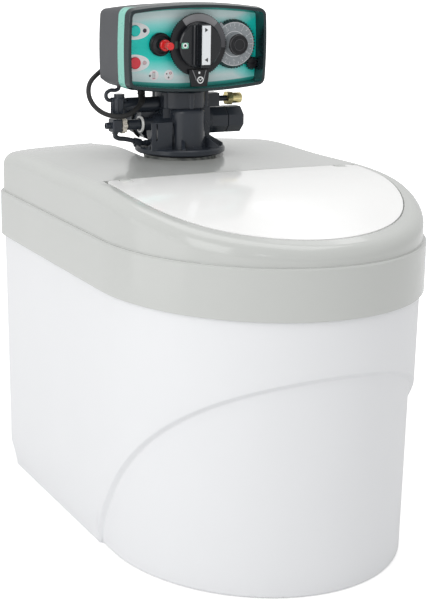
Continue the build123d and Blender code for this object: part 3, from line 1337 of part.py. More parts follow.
def timer_housing():
    front = TRIM_BACK_Y + RUNNING
    body = housing_form(0, TIMER_BACK_Y, front)
    body = chamfer(body.faces().sort_by(Axis.Y)[-1].edges(), HOUSING_EDGE) - housing_wedge(0)
    inner_back = TIMER_BACK_Y - HOUSING_WALL
    hollow = housing_form(HOUSING_WALL, inner_back, front - OVERRUN)
    body -= hollow - housing_wedge(HOUSING_WALL)
    body += rod((PROG_X, BEARING_FRONT_Y, PROG_Z), Y_DIR, inner_back - BEARING_FRONT_Y, BEARING_RADIUS)
    body -= rod((PROG_X, BEARING_FRONT_Y - OVERRUN, PROG_Z), Y_DIR,
                SHAFT_BACK_Y + LOOSE + OVERRUN - BEARING_FRONT_Y, SHAFT_RADIUS + RUNNING)
    post_front = BOARD_FRONT_Y + BOARD_THICK + RUNNING
    for side in (-1, 1):
        for z in (BOARD_POST_LOW_Z, BOARD_POST_TOP_Z):
            start = (side * BOARD_POST_X, post_front, z)
            body += rod(start, Y_DIR, inner_back - post_front, BOARD_POST_RADIUS)
    x, y, z = CABLE_ROUTE[0]
    body -= rod((x, inner_back - OVERRUN, z), Y_DIR, 2 * OVERRUN + HOUSING_WALL, GLAND_RADIUS + RUNNING)
    x, y, z = CABLE_ROUTE[-1]
    return body - upright(x, y, HOUSING_LOW_Z - OVERRUN, HOUSING_LOW_Z + OVERRUN, GLAND_RADIUS + RUNNING)


def setter_place():
    """Where the setting wheel stands, in mesh with the clock's teeth."""
    distance = GEAR_MODULE * (CLOCK_TEETH + SETTER_TEETH) / 2
    angle = radians(SETTER_ANGLE)
    return CLOCK_X + distance * cos(angle), CLOCK_Z + distance * sin(angle)


def motor_place():
    """Where the motor stands, in mesh with the programme gear."""
    distance = GEAR_MODULE * (PROG_GEAR_TEETH + MOTOR_PINION_TEETH) / 2
    angle = radians(MOTOR_ANGLE)
    return PROG_X + distance * cos(angle), PROG_Z + distance * sin(angle)


def gear_face(teeth, phase):
    """A toothed wheel's face with a tooth at the phase angle."""
    pitch = GEAR_MODULE * teeth / 2
    root = pitch - GEAR_ROOT
    tip = pitch + GEAR_TIP
    corners = (
        (-TOOTH_ROOT_SHARE, root),
        (-TOOTH_TIP_SHARE, tip),
        (TOOTH_TIP_SHARE, tip),
        (TOOTH_ROOT_SHARE, root),
    )
    points = []
    for tooth in range(teeth):
        for share, radius in corners:
            angle = radians(phase + 360 * (tooth + share) / teeth)
            points.append((radius * cos(angle), radius * sin(angle)))
    return make_face(Polyline(*points, close=True))


def programme_disc():
    points = []
    for number in range(2 * DISC_TEETH):
        radius = DISC_RADIUS - DISC_TOOTH * (number % 2)
        angle = radians(180 * number / DISC_TEETH)
        points.append((radius * cos(angle), radius * sin(angle)))
    face = make_face(Polyline(*points, close=True)) - Circle(SHAFT_RADIUS + RUNNING)
    return plate(face, DISC_FRONT_Y + DISC_THICK, DISC_FRONT_Y, PROG_X, PROG_Z)


def programme_knob():
    back = DISC_FRONT_Y - RUNNING
    centre = (PROG_X, back, PROG_Z)
    body = rounded_tip(centre, FRONT_DIR, back - KNOB_FRONT_Y, KNOB_RADIUS, KNOB_EDGE)
    foot_face = RectangleRounded(2 * BAR_FOOT_HALF, 2 * BAR_TALL, BAR_FOOT_CORNER)
    foot = plate(foot_face, back, KNOB_FRONT_Y - BAR_FOOT_PROUD, PROG_X, PROG_Z)
    body += chamfer(foot.faces().sort_by(Axis.Y)[0].edges(), BAR_FOOT_EDGE)
    bar_face = RectangleRounded(2 * BAR_HALF, 2 * BAR_TALL, BAR_CORNER)
    bar = plate(bar_face, back, BAR_FRONT_Y, PROG_X, PROG_Z)
    body += chamfer(bar.faces().sort_by(Axis.Y)[0].edges(), BAR_EDGE)
    return body - rod((PROG_X, SHAFT_FRONT_Y - LOOSE, PROG_Z), Y_DIR, OVERRUN, SHAFT_RADIUS + RUNNING)


def knob_inserts():
    """The marked strip on the grip bar and the small window beside it."""
    strip = RectangleRounded(2 * STRIP_HALF, 2 * STRIP_TALL, STRIP_CORNER)
    back = BAR_FRONT_Y - RUNNING
    window = RectangleRounded(2 * WINDOW_HALF, 2 * WINDOW_TALL, WINDOW_TALL / 2)
    window_back = KNOB_FRONT_Y - RUNNING
    return [
        plate(strip, back, back - STRIP_THICK, PROG_X, PROG_Z + STRIP_RISE),
        plate(window, window_back, window_back - WINDOW_PROUD, PROG_X + WINDOW_X, PROG_Z),
    ]


def programme_shaft():
    return rod((PROG_X, SHAFT_FRONT_Y, PROG_Z), Y_DIR, SHAFT_BACK_Y - SHAFT_FRONT_Y, SHAFT_RADIUS)


def index_pointer():
    top = PROG_Z - KNOB_RADIUS - POINTER_GAP
    points = (
        (-POINTER_LOW_HALF, POINTER_LOW_Z),
        (POINTER_LOW_HALF, POINTER_LOW_Z),
        (POINTER_TOP_HALF, top),
        (-POINTER_TOP_HALF, top),
    )
    back = POINTER_FRONT_Y + POINTER_THICK
    body = plate(make_face(Polyline(*points, close=True)), back, POINTER_FRONT_Y, PROG_X)
    return body + rod((PROG_X, back, POINTER_POST_Z), Y_DIR, PANEL_Y - RUNNING - back, POINTER_POST)


def programme_gear():
    face = gear_face(PROG_GEAR_TEETH, MOTOR_ANGLE) - Circle(SHAFT_RADIUS + RUNNING)
    return plate(face, PROG_GEAR_BACK_Y, PROG_GEAR_BACK_Y - GEAR_THICK, PROG_X, PROG_Z)


def timer_cams():
    cams = []
    for number in range(CAMS):
        notch = Rot(0, 0, 360 * number / CAMS) * Pos(CAM_RADIUS, 0) * Rectangle(2 * CAM_NOTCH, CAM_NOTCH)
        face = Circle(CAM_RADIUS) - notch - Circle(SHAFT_RADIUS + RUNNING)
        front = CAM_FIRST_Y + CAM_PITCH * number
        cams.append(plate(face, front + CAM_THICK, front, PROG_X, PROG_Z))
    return cams


def timer_motor():
    x, z = motor_place()
    body = rod((x, MOTOR_FRONT_Y, z), Y_DIR, MOTOR_BACK_Y - MOTOR_FRONT_Y, MOTOR_RADIUS)
    ear_back = MOTOR_FRONT_Y + MOTOR_EAR_THICK
    for angle in MOTOR_EAR_ANGLES:
        arm = Rot(0, 0, angle) * Pos(MOTOR_EAR / 2, 0) * Rectangle(MOTOR_EAR, 2 * MOTOR_EAR_HALF)
        end = Rot(0, 0, angle) * Pos(MOTOR_EAR, 0) * Circle(MOTOR_EAR_HALF)
        body += plate(arm + end, ear_back, MOTOR_FRONT_Y, x, z)
        post_x = x + MOTOR_EAR * cos(radians(angle))
        post_z = z + MOTOR_EAR * sin(radians(angle))
        post_front = PANEL_Y + PANEL_THICK + RUNNING
        body += rod((post_x, post_front, post_z), Y_DIR, ear_back - post_front, MOTOR_POST)
    length = PINION_SHAFT_BACK_Y + LOOSE - MOTOR_FRONT_Y + OVERRUN
    return body - rod((x, MOTOR_FRONT_Y - OVERRUN, z), Y_DIR, length, PINION_SHAFT + RUNNING)


def motor_pinion():
    x, z = motor_place()
    phase = MOTOR_ANGLE + 180 + 180 / MOTOR_PINION_TEETH
    front = PROG_GEAR_BACK_Y - GEAR_THICK
    body = plate(gear_face(MOTOR_PINION_TEETH, phase), PROG_GEAR_BACK_Y, front, x, z)
    return body + rod((x, front, z), Y_DIR, PINION_SHAFT_BACK_Y - front, PINION_SHAFT)


def clock_gear():
    body = plate(gear_face(CLOCK_TEETH, SETTER_ANGLE), CLOCK_GEAR_BACK_Y, CLOCK_GEAR_BACK_Y - CLOCK_GEAR_THICK,
                 CLOCK_X, CLOCK_Z)
    start = (CLOCK_X, CLOCK_GEAR_BACK_Y - CLOCK_GEAR_THICK, CLOCK_Z)
    return body + rod(start, Y_DIR, AXLE_BACK_Y - start[1], CLOCK_AXLE_RADIUS)


def clock_dial():
    finger = Rot(0, 0, DIAL_POINTER_ANGLE) * Pos(DIAL_POINTER_REACH / 2, 0)
    face = Circle(DIAL_RADIUS) + finger * Rectangle(DIAL_POINTER_REACH, 2 * DIAL_POINTER_HALF)
    core = Circle(CLOCK_CORE_RADIUS + RUNNING)
    body = plate(face - core, DIAL_BACK_Y, DIAL_BACK_Y - DIAL_THICK, CLOCK_X, CLOCK_Z)
    sleeve_front = CLOCK_HUB_FRONT_Y + CLOCK_CAP_THICK + RUNNING
    return body + plate(Circle(CLOCK_HUB_RADIUS) - core, DIAL_BACK_Y, sleeve_front, CLOCK_X, CLOCK_Z)


def clock_hub():
    back = CLOCK_GEAR_BACK_Y - CLOCK_GEAR_THICK - RUNNING
    core_length = back - CLOCK_HUB_FRONT_Y - CLOCK_STEP_PROUD
    body = rod((CLOCK_X, back, CLOCK_Z), FRONT_DIR, core_length, CLOCK_CORE_RADIUS)
    cap_start = (CLOCK_X, CLOCK_HUB_FRONT_Y + CLOCK_CAP_THICK, CLOCK_Z)
    cap_length = CLOCK_CAP_THICK - CLOCK_STEP_PROUD
    body += rounded_tip(cap_start, FRONT_DIR, cap_length, CLOCK_HUB_RADIUS, CLOCK_HUB_EDGE)
    return body + rounded_tip(cap_start, FRONT_DIR, CLOCK_CAP_THICK, CLOCK_STEP_RADIUS, CLOCK_STEP_PROUD / 2)


def setting_wheel():
    x, z = setter_place()
    phase = SETTER_ANGLE + 180 + 180 / SETTER_TEETH
    front = CLOCK_GEAR_BACK_Y - CLOCK_GEAR_THICK
    body = plate(gear_face(SETTER_TEETH, phase), CLOCK_GEAR_BACK_Y, front, x, z)
    body -= block((x - SETTER_TEETH / 3, front - OVERRUN, z - SETTER_SLOT / 2),
                  (x + SETTER_TEETH / 3, front + SETTER_SLOT, z + SETTER_SLOT / 2))
    return body + rod((x, CLOCK_GEAR_BACK_Y, z), Y_DIR, AXLE_BACK_Y - CLOCK_GEAR_BACK_Y, SETTER_AXLE_RADIUS)


def plunger_collar():
    back = PANEL_Y - RUNNING
    centre = (PLUNGER_X, back, PLUNGER_Z)
    body = rounded_tip(centre, FRONT_DIR, back - COLLAR_FRONT_Y, COLLAR_RADIUS, COLLAR_EDGE)
    cone = Cone(COLLAR_CONE_WIDE, COLLAR_CONE_NARROW, COLLAR_FRONT_Y - COLLAR_CONE_FRONT_Y, align=BASE)
    body += facing(PLUNGER_X, COLLAR_FRONT_Y, PLUNGER_Z) * cone
    body += rod(centre, FRONT_DIR, back - COLLAR_TUBE_FRONT_Y, COLLAR_TUBE_RADIUS)
    return body - rod(centre, FRONT_DIR, TIMER_BACK_Y, PLUNGER_BASE_RADIUS + RUNNING)


def pushed_piece(x, z, front, back, radius):
    """A button or plunger with the flange that keeps it behind the panel."""
    body = rounded_tip((x, back, z), FRONT_DIR, back - front, radius, PLUNGER_EDGE)
    start = (x, PANEL_Y + PANEL_THICK + RUNNING, z)
    return body + rod(start, Y_DIR, FLANGE_THICK, radius + FLANGE_OUT)


def plunger():
    body = pushed_piece(PLUNGER_X, PLUNGER_Z, PLUNGER_STEP_Y, PLUNGER_BACK_Y, PLUNGER_BASE_RADIUS)
    start = (PLUNGER_X, PLUNGER_STEP_Y + PLUNGER_EDGE, PLUNGER_Z)
    length = start[1] - PLUNGER_TIP_Y
    return body + rounded_tip(start, FRONT_DIR, length, PLUNGER_TIP_RADIUS, PLUNGER_EDGE)


def start_button():
    return pushed_piece(BUTTON_X, START_Z, PANEL_Y - BUTTON_PROUD, BUTTON_BACK_Y, START_RADIUS)


def stop_button():
    return pushed_piece(BUTTON_X, STOP_Z, PANEL_Y - BUTTON_PROUD, BUTTON_BACK_Y, STOP_BUTTON_RADIUS)


def indicator_lenses():
    lenses = []
    for z in (START_Z, STOP_Z):
        start = (LENS_X, PANEL_Y + PANEL_THICK, z)
        length = PANEL_THICK + LENS_PROUD
        lenses.append(rounded_tip(start, FRONT_DIR, length, LENS_RADIUS, LENS_PROUD / 2))
    return lenses


def panel_plate():
    body = plate(timer_outline(HOOD_RIM + PANEL_GAP), PANEL_Y + PANEL_THICK, PANEL_Y, 0, TIMER_Z)
    holes = [
        (PROG_X, PROG_Z, SHAFT_RADIUS),
        (CLOCK_X, CLOCK_Z, CLOCK_AXLE_RADIUS),
        (*setter_place(), SETTER_AXLE_RADIUS),
        (PLUNGER_X, PLUNGER_Z, PLUNGER_BASE_RADIUS),
        (BUTTON_X, START_Z, START_RADIUS),
        (BUTTON_X, STOP_Z, STOP_BUTTON_RADIUS),
        (LENS_X, START_Z, LENS_RADIUS),
        (LENS_X, STOP_Z, LENS_RADIUS),
    ]
    for x, z, radius in holes:
        body -= rod((x, PANEL_Y - OVERRUN, z), Y_DIR, PANEL_THICK + 2 * OVERRUN, radius + RUNNING)
    return body


def switch_block():
    low = (BUTTON_X - SWITCH_HALF_X, SWITCH_FRONT_Y, SWITCH_LOW_Z)
    body = block(low, (BUTTON_X + SWITCH_HALF_X, SWITCH_BACK_Y, SWITCH_TOP_Z))
    for z in (START_Z, STOP_Z):
        start = (BUTTON_X, SWITCH_PIN_FRONT_Y, z)
        body += rod(start, Y_DIR, SWITCH_BACK_Y - SWITCH_PIN_FRONT_Y, SWITCH_PIN_RADIUS)
    post_front = PANEL_Y + PANEL_THICK + RUNNING
    for side in (-1, 1):
        start = (BUTTON_X + side * SWITCH_POST_X, post_front, SWITCH_POST_Z)
        body += rod(start, Y_DIR, SWITCH_BACK_Y - post_front, MOTOR_POST)
    return body


def terminal_board():
    low = (-BOARD_HALF_X, BOARD_FRONT_Y, BOARD_LOW_Z)
    body = block(low, (BOARD_HALF_X, BOARD_FRONT_Y + BOARD_THICK, BOARD_TOP_Z))
    body -= rod((PROG_X, BOARD_FRONT_Y - OVERRUN, PROG_Z), Y_DIR, 2 * OVERRUN + BOARD_THICK, BOARD_HOLE)
    x, y, z = CABLE_ROUTE[0]
    body -= rod((x, BOARD_FRONT_Y - OVERRUN, z), Y_DIR, 2 * OVERRUN + BOARD_THICK, GLAND_FLANGE + LOOSE)
    for number in range(TERMINALS):
        left = PROG_X + BOARD_HOLE - TERMINAL_X / 2 + TERMINAL_PITCH * (number - 1)
        near = (left, BOARD_FRONT_Y - TERMINAL_DEEP, TERMINAL_TOP_Z - TERMINAL_TALL)
        far = (left + TERMINAL_WIDE, BOARD_FRONT_Y + BOARD_THICK / 2, TERMINAL_TOP_Z)
        body += block(near, far)
    return body


def cable_loop():
    return tube(CABLE_ROUTE, CABLE_RADIUS)


def cable_glands():
    x, y, z = CABLE_ROUTE[0]
    inner = TIMER_BACK_Y - HOUSING_WALL - GLAND_INSIDE
    rear = rod((x, inner, z), Y_DIR, y - CONTACT - inner, GLAND_RADIUS)
    rear += rod((x, TIMER_BACK_Y + RUNNING, z), Y_DIR, GLAND_FLANGE_THICK, GLAND_FLANGE)
    x, y, z = CABLE_ROUTE[-1]
    low = z + CONTACT
    under = upright(x, y, low, HOUSING_LOW_Z + HOUSING_WALL + GLAND_INSIDE, GLAND_RADIUS)
    flange_high = HOUSING_LOW_Z - RUNNING
    under += upright(x, y, flange_high - GLAND_FLANGE_THICK, flange_high, GLAND_FLANGE)
    return [rear, under]


NODES = {
    "cabinet_tub": tub,
    "cover": cover,
    "salt_lid": salt_lid,
    "lid_hinge_pins": lid_hinge_pins,
    "resin_tank": resin_tank,
    "tank_foot": tank_foot,
    "resin_bed": resin_bed,
    "riser_tube": riser_tube,
    "bottom_strainer": bottom_strainer,
    "top_strainer": top_strainer,
    "neck_seal": neck_seal,
    "brine_well": brine_well,
    "brine_well_cap": brine_well_cap,
    "brine_float": brine_float,
    "brine_safety_valve": brine_safety_valve,
    "pickup_tube": pickup_tube,
    "brine_hose": brine_hose,
    "valve_body": valve_body,
    "valve_bonnet": valve_bonnet,
    "screws": screws,
    "piston": piston,
    "piston_rings": piston_rings,
    "right_end_cap": right_end_cap,
    "drain_nut": drain_nut,
    "brine_barrel": brine_barrel,
    "star_wheel": star_wheel,
    "brine_box": brine_box,
    "retaining_clip": retaining_clip,
    "link_tube": link_tube,
    "tube_clip": tube_clip,
    "injector_housing": injector_housing,
    "pilot_tube": pilot_tube,
    "port_adapters": port_adapters,
    "port_clips": port_clips,
    "timer_housing": timer_housing,
    "timer_hood": timer_hood,
    "timer_trim": timer_trim,
    "panel_plate": panel_plate,
    "programme_disc": programme_disc,
    "programme_knob": programme_knob,
    "knob_inserts": knob_inserts,
    "programme_shaft": programme_shaft,
    "index_pointer": index_pointer,
    "programme_gear": programme_gear,
    "timer_cams": timer_cams,
    "timer_motor": timer_motor,
    "motor_pinion": motor_pinion,
    "clock_gear": clock_gear,
    "clock_dial": clock_dial,
    "clock_hub": clock_hub,
    "setting_wheel": setting_wheel,
    "plunger_collar": plunger_collar,
    "plunger": plunger,
    "start_button": start_button,
    "stop_button": stop_button,
    "indicator_lenses": indicator_lenses,
    "switch_block": switch_block,
    "terminal_board": terminal_board,
    "cable_loop": cable_loop,
    "cable_glands": cable_glands,
}

for name, make in NODES.items():
    shape = make()
    if isinstance(shape, list):
        shape = Compound(children=[piece.solid() for piece in shape])
    export_step(shape, f"parts/{name}.step")
    print(name, len(shape.solids()), round(shape.volume))
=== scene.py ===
# %% [markdown]
# # A compact cabinet water softener
# The object is a satin white salt cabinet with a warm grey gloss cover and a hinged salt lid. A black
# control valve stands on the cover's deck and carries a dial timer with a blue-green panel.
# The CAD model already gives every piece its true shape, size and place, so this scene adds what CAD
# leaves out: cords with a natural line, soft edges, printed marks, and surfaces that look moulded,
# turned or pressed. Everything is in metres. Sizes are written in millimetres, as in the CAD source,
# and MM turns them into metres.

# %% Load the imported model
import bmesh
import bpy
from math import cos, degrees, hypot, pi, radians, sin, sqrt
from mathutils import Matrix, Vector


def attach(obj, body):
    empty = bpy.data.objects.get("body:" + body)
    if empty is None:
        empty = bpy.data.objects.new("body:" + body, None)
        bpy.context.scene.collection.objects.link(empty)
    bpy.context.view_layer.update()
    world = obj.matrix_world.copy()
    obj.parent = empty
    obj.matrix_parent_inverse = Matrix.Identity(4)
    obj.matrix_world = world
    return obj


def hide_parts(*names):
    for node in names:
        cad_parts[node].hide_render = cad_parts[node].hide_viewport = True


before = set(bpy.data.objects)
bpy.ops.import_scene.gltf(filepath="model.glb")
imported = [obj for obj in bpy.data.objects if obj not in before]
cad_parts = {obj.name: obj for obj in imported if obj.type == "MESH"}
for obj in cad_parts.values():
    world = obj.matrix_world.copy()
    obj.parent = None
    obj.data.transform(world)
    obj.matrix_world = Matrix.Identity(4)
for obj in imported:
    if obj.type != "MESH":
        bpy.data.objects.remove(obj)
bpy.context.view_layer.update()
MM = 0.001

# %% [markdown]
# ## The camera
# The photograph was taken from the front left and a little above, with a long lens, so lines hardly
# converge. A lens could be guessed by eye, but here place, direction and focal length come from a fit
# to the cabinet's outline. The picture is 426 by 600 pixels, and its long side takes the sensor's width.

# %% Camera
PICTURE_TALL = 600
FOCAL_PIXELS = 1488.6
SENSOR = 36.0
CAMERA_PLACE = (-676.0, -1312.0, 602.1)
YAW = radians(27.0)
PITCH = radians(14.38)
ROLL = radians(0.95)


def place_in_scene(name, data):
    """A new object with this data, in the scene."""
    thing = bpy.data.objects.new(name, data)
    bpy.context.scene.collection.objects.link(thing)
    return thing


def add_camera():
    forward = Vector((sin(YAW) * cos(PITCH), cos(YAW) * cos(PITCH), -sin(PITCH)))
    level_right = Vector((cos(YAW), -sin(YAW), 0))
    level_down = forward.cross(level_right)
    right = cos(ROLL) * level_right - sin(ROLL) * level_down
    down = sin(ROLL) * level_right + cos(ROLL) * level_down
    turn = Matrix((right, -down, -forward)).transposed().to_4x4()
    data = bpy.data.cameras.new("photo_camera")
    data.sensor_width = SENSOR
    data.lens = FOCAL_PIXELS / PICTURE_TALL * SENSOR
    camera = place_in_scene("photo_camera", data)
    camera.matrix_world = Matrix.Translation(Vector(CAMERA_PLACE) * MM) @ turn
    bpy.context.scene.camera = camera
    return camera


print("lens", round(add_camera().data.lens, 1), "mm")

# %% [markdown]
# ## The cable and the brine hose
# A short black mains cable leaves the back of the timer, hangs in a loop round its left side and goes
# up into its underside. The brine hose runs inside the cabinet, round the resin tank, and comes out
# through the cover's rear channel to the back of the valve. A tube could be swept along straight runs
# and arcs, but a flexible cord has no such corners. A NURBS curve of order 3 pulls one smooth line
# through the neighbourhood of the same points, and its bevel gives the round section.

# %% Cords
CORD_STEPS = 12
CORD_ROUNDNESS = 6
CABLE_RADIUS = 2.5
CABLE_ROUTE = (
    (-36.0, 141.0, 463.0), (-36.0, 151.5, 463.0), (-46.0, 157.0, 456.5), (-58.5, 158.0, 448.0),
    (-71.0, 154.5, 440.5), (-81.5, 146.5, 434.5), (-88.5, 135.5, 428.0), (-92.5, 123.5, 420.5),
    (-92.5, 110.5, 413.0), (-88.5, 96.5, 407.0), (-80.0, 83.5, 404.5), (-68.0, 77.5, 406.0),
    (-56.5, 79.5, 413.5), (-49.5, 84.0, 420.0), (-47.5, 92.0, 425.0), (-47.5, 92.0, 430.0),
)
HOSE_RADIUS = 4.0
HOSE_ROUTE = (
    (-99.0, -45.9, 296.0), (-99.0, -24.0, 296.0), (-103.5, 12.0, 298.0), (-107.0, 52.0, 301.5),
    (-104.0, 89.0, 306.0), (-92.0, 125.0, 313.0), (-70.0, 150.0, 320.5), (-43.0, 161.0, 328.0),
    (-20.0, 163.0, 334.0), (-4.0, 160.0, 345.0), (0.0, 157.0, 358.5), (0.0, 152.0, 371.0),
    (0.0, 142.5, 378.0), (0.0, 131.5, 378.0),
)


def cord_curve(name, route, radius):
    curve = bpy.data.curves.new(name, "CURVE")
    curve.dimensions = "3D"
    curve.resolution_u = CORD_STEPS
    curve.bevel_depth = radius * MM
    curve.bevel_resolution = CORD_ROUNDNESS
    curve.use_fill_caps = True
    spline = curve.splines.new("NURBS")
    spline.points.add(len(route) - 1)
    for point, place in zip(spline.points, route):
        point.co = (*(Vector(place) * MM), 1)
    spline.order_u = 3
    spline.use_endpoint_u = True
    return place_in_scene(name, curve)


cable = cord_curve("timer_cable", CABLE_ROUTE, CABLE_RADIUS)
hose = cord_curve("brine_line_hose", HOSE_ROUTE, HOSE_RADIUS)
print("cords", cable.name, hose.name)

# %% The middle line of a cord


def evaluated_mesh(thing):
    """A plain mesh of what an object's modifiers or curve make."""
    bpy.context.view_layer.update()
    return bpy.data.meshes.new_from_object(thing.evaluated_get(bpy.context.evaluated_depsgraph_get()))


def middle_line(cord):
    """The points of the cord's own smooth line, in millimetres, from its exit."""
    depth = cord.data.bevel_depth
    cord.data.bevel_depth = 0
    line = evaluated_mesh(cord)
    cord.data.bevel_depth = depth
    points = [v.co / MM for v in line.vertices]
    bpy.data.meshes.remove(line)
    cord.data.update_tag()
    bpy.context.view_layer.update()
    return points


def line_length(points):
    return sum((b - a).length for a, b in zip(points, points[1:]))


cable_line = middle_line(cable)
hose_line = middle_line(hose)
print("cable", round(line_length(cable_line)), "mm, hose", round(line_length(hose_line)), "mm")

# %% [markdown]
# ## Colours and the moulded surface
# Colours are read off as screen values, and a shader wants linear ones, so one small helper converts them.
# Nearly everything here is injection moulded. Such a part is never one even colour: its tone drifts slightly,
# its gloss is a little uneven, it has a fine grain, and its edges are rounded and are painted lighter, a
# painted highlight in the colour. One node group holds those four effects, and each material sets its own
# amounts.

# %% Colour helper


def screen(red, green, blue):
    """A colour given in screen values from 0 to 255, as linear light, by the sRGB curve."""
    def linear(value):
        share = value / 255
        return share / 12.92 if share <= 0.04045 else ((share + 0.055) / 1.055) ** 2.4
    return (linear(red), linear(green), linear(blue), 1)


print("mid grey", round(screen(128, 128, 128)[0], 3))

# %% Node helpers


def add_node(tree, kind, **settings):
    node = tree.nodes.new(kind)
    for key, value in settings.items():
        setattr(node, key, value)
    return node


def tree_sockets(tree, side, kind, *names):
    for name in names:
        tree.interface.new_socket(name, in_out=side, socket_type=f"NodeSocket{kind}")


def feed(tree, value, socket):
    """A socket's input is a plain number or another node's output."""
    if isinstance(value, (int, float)):
        socket.default_value = value
    else:
        tree.links.new(value, socket)


def math_node(tree, operation, *values):
    node = add_node(tree, "ShaderNodeMath", operation=operation)
    for socket, value in zip(node.inputs, values):
        feed(tree, value, socket)
    return node.outputs[0]


def noise_node(tree, vector, scale, detail):
    node = add_node(tree, "ShaderNodeTexNoise")
    for name, value in (("Vector", vector), ("Scale", scale), ("Detail", detail)):
        feed(tree, value, node.inputs[name])
    return node.outputs["Fac"]


def object_place(tree):
    return add_node(tree, "ShaderNodeTexCoord").outputs["Object"]


BEVEL_SAMPLES = 6


def rounded_normal(tree, radius):
    """The surface's direction as if its edges were rounded."""
    rounded = add_node(tree, "ShaderNodeBevel", samples=BEVEL_SAMPLES)
    feed(tree, radius, rounded.inputs["Radius"])
    return rounded.outputs[0]


def bumped_normal(tree, height, distance, normal=None):
    bump = add_node(tree, "ShaderNodeBump")
    feed(tree, height, bump.inputs["Height"])
    feed(tree, distance, bump.inputs["Distance"])
    if normal is not None:
        feed(tree, normal, bump.inputs["Normal"])
    return bump.outputs[0]


def drift_about_zero(tree, noise, amount):
    """A noise from 0 to 1, moved to lie about zero and scaled."""
    return math_node(tree, "MULTIPLY", math_node(tree, "SUBTRACT", noise, 0.5), amount)


print("node helpers ready")

# %% The moulded surface group
BROAD_SCALE = 14.0
PATCH_SCALE = 60.0
BROAD_DETAIL = 3.0
FINE_DETAIL = 4.0
# Cap on how far the normal's turn counts towards the painted edge highlight.
EDGE_LIMIT = 0.3
AMOUNTS = ("Tone drift", "Roughness", "Gloss drift", "Grain scale", "Grain depth", "Edge radius",
           "Painted edge light")


def moulded_group():
    tree = bpy.data.node_groups.new("moulded_surface", "ShaderNodeTree")
    tree_sockets(tree, "INPUT", "Color", "Colour")
    tree_sockets(tree, "INPUT", "Float", *AMOUNTS)
    tree_sockets(tree, "OUTPUT", "Color", "Colour")
    tree_sockets(tree, "OUTPUT", "Float", "Roughness")
    tree_sockets(tree, "OUTPUT", "Vector", "Normal")
    given = add_node(tree, "NodeGroupInput")
    result = add_node(tree, "NodeGroupOutput")
    place = object_place(tree)
    broad = noise_node(tree, place, BROAD_SCALE, BROAD_DETAIL)
    patch = noise_node(tree, place, PATCH_SCALE, FINE_DETAIL)
    fine = noise_node(tree, place, given.outputs["Grain scale"], FINE_DETAIL)
    rounded = rounded_normal(tree, given.outputs["Edge radius"])
    flat = add_node(tree, "ShaderNodeNewGeometry")
    facing = add_node(tree, "ShaderNodeVectorMath", operation="DOT_PRODUCT")
    feed(tree, rounded, facing.inputs[0])
    feed(tree, flat.outputs["Normal"], facing.inputs[1])
    # Painted highlight: the colour is made lighter where the rounded normal turns away from the flat one.
    turned = math_node(tree, "SUBTRACT", 1.0, facing.outputs["Value"])
    turned = math_node(tree, "MINIMUM", turned, EDGE_LIMIT)
    edge = math_node(tree, "MULTIPLY", turned, given.outputs["Painted edge light"])
    drift = drift_about_zero(tree, broad, given.outputs["Tone drift"])
    factor = math_node(tree, "ADD", math_node(tree, "ADD", drift, 1.0), edge)
    toned = add_node(tree, "ShaderNodeVectorMath", operation="SCALE")
    feed(tree, given.outputs["Colour"], toned.inputs[0])
    feed(tree, factor, toned.inputs["Scale"])
    gloss = drift_about_zero(tree, patch, given.outputs["Gloss drift"])
    rough = math_node(tree, "ADD", gloss, given.outputs["Roughness"])
    normal = bumped_normal(tree, fine, given.outputs["Grain depth"], rounded)
    for name, output in (("Colour", toned.outputs[0]), ("Roughness", rough), ("Normal", normal)):
        feed(tree, output, result.inputs[name])
    return tree


MOULDED = moulded_group()
print("group", MOULDED.name)

# %% One moulded material
COAT_ROUGHNESS = 0.04
finishes = {}


def start_material(name):
    material = bpy.data.materials.new(name)
    material.use_nodes = True
    tree = material.node_tree
    shader = tree.nodes["Principled BSDF"]
    finishes[name] = material
    return tree, shader


def moulded(name, colour, roughness, coat=0.0, tone=0.05, gloss=0.08, grain=1500.0, depth=0.02, edge=0.5,
            light=0.5, metal=0.0):
    """A finish with the group's four effects. Depth and edge are in millimetres. Light sets how much lighter
    the edges are painted, a painted highlight.
    """
    tree, shader = start_material(name)
    group = add_node(tree, "ShaderNodeGroup", node_tree=MOULDED)
    group.inputs["Colour"].default_value = screen(*colour)
    for key, value in zip(AMOUNTS, (tone, roughness, gloss, grain, depth * MM, edge * MM, light)):
        group.inputs[key].default_value = value
    for key, socket in (("Colour", "Base Color"), ("Roughness", "Roughness"), ("Normal", "Normal")):
        feed(tree, group.outputs[key], shader.inputs[socket])
    shader.inputs["Coat Weight"].default_value = coat
    shader.inputs["Coat Roughness"].default_value = COAT_ROUGHNESS
    shader.inputs["Metallic"].default_value = metal


print("a finish sets", 1 + len(AMOUNTS), "inputs of the group")

# %% The moulded finishes
moulded("tub_white", (236, 237, 239), 0.34, tone=0.02, grain=900.0, depth=0.03, edge=1.0, light=0.1)
moulded("cover_grey", (199, 201, 198), 0.18, coat=0.35, tone=0.03, gloss=0.04, depth=0.004, edge=0.8,
        light=1.0)
moulded("lid_white", (252, 252, 251), 0.16, coat=0.3, tone=0.02, gloss=0.04, depth=0.004, edge=1.2, light=0.4)
moulded("valve_black", (44, 49, 57), 0.24, tone=0.3, gloss=0.2, grain=1200.0, depth=0.04, edge=0.6, light=5.0)
moulded("housing_grey", (74, 76, 80), 0.5, tone=0.08, grain=2200.0, depth=0.06, edge=0.8, light=0.8)
moulded("hood_dark", (24, 40, 44), 0.16, coat=0.2, tone=0.1, grain=2200.0, depth=0.01, edge=0.7, light=3.0)
moulded("trim_mint", (160, 226, 208), 0.28, coat=0.2, tone=0.06, edge=0.4, light=0.3)
moulded("disc_black", (22, 23, 28), 0.32, tone=0.2, grain=2600.0, depth=0.02, edge=0.25, light=4.0)
moulded("knob_black", (24, 27, 32), 0.2, coat=0.2, tone=0.15, grain=2600.0, depth=0.01, edge=0.5, light=6.0)
moulded("clip_white", (240, 240, 238), 0.3, tone=0.04, edge=0.4, light=0.2)
moulded("star_cream", (214, 208, 196), 0.45, tone=0.1, edge=0.4, light=0.5)
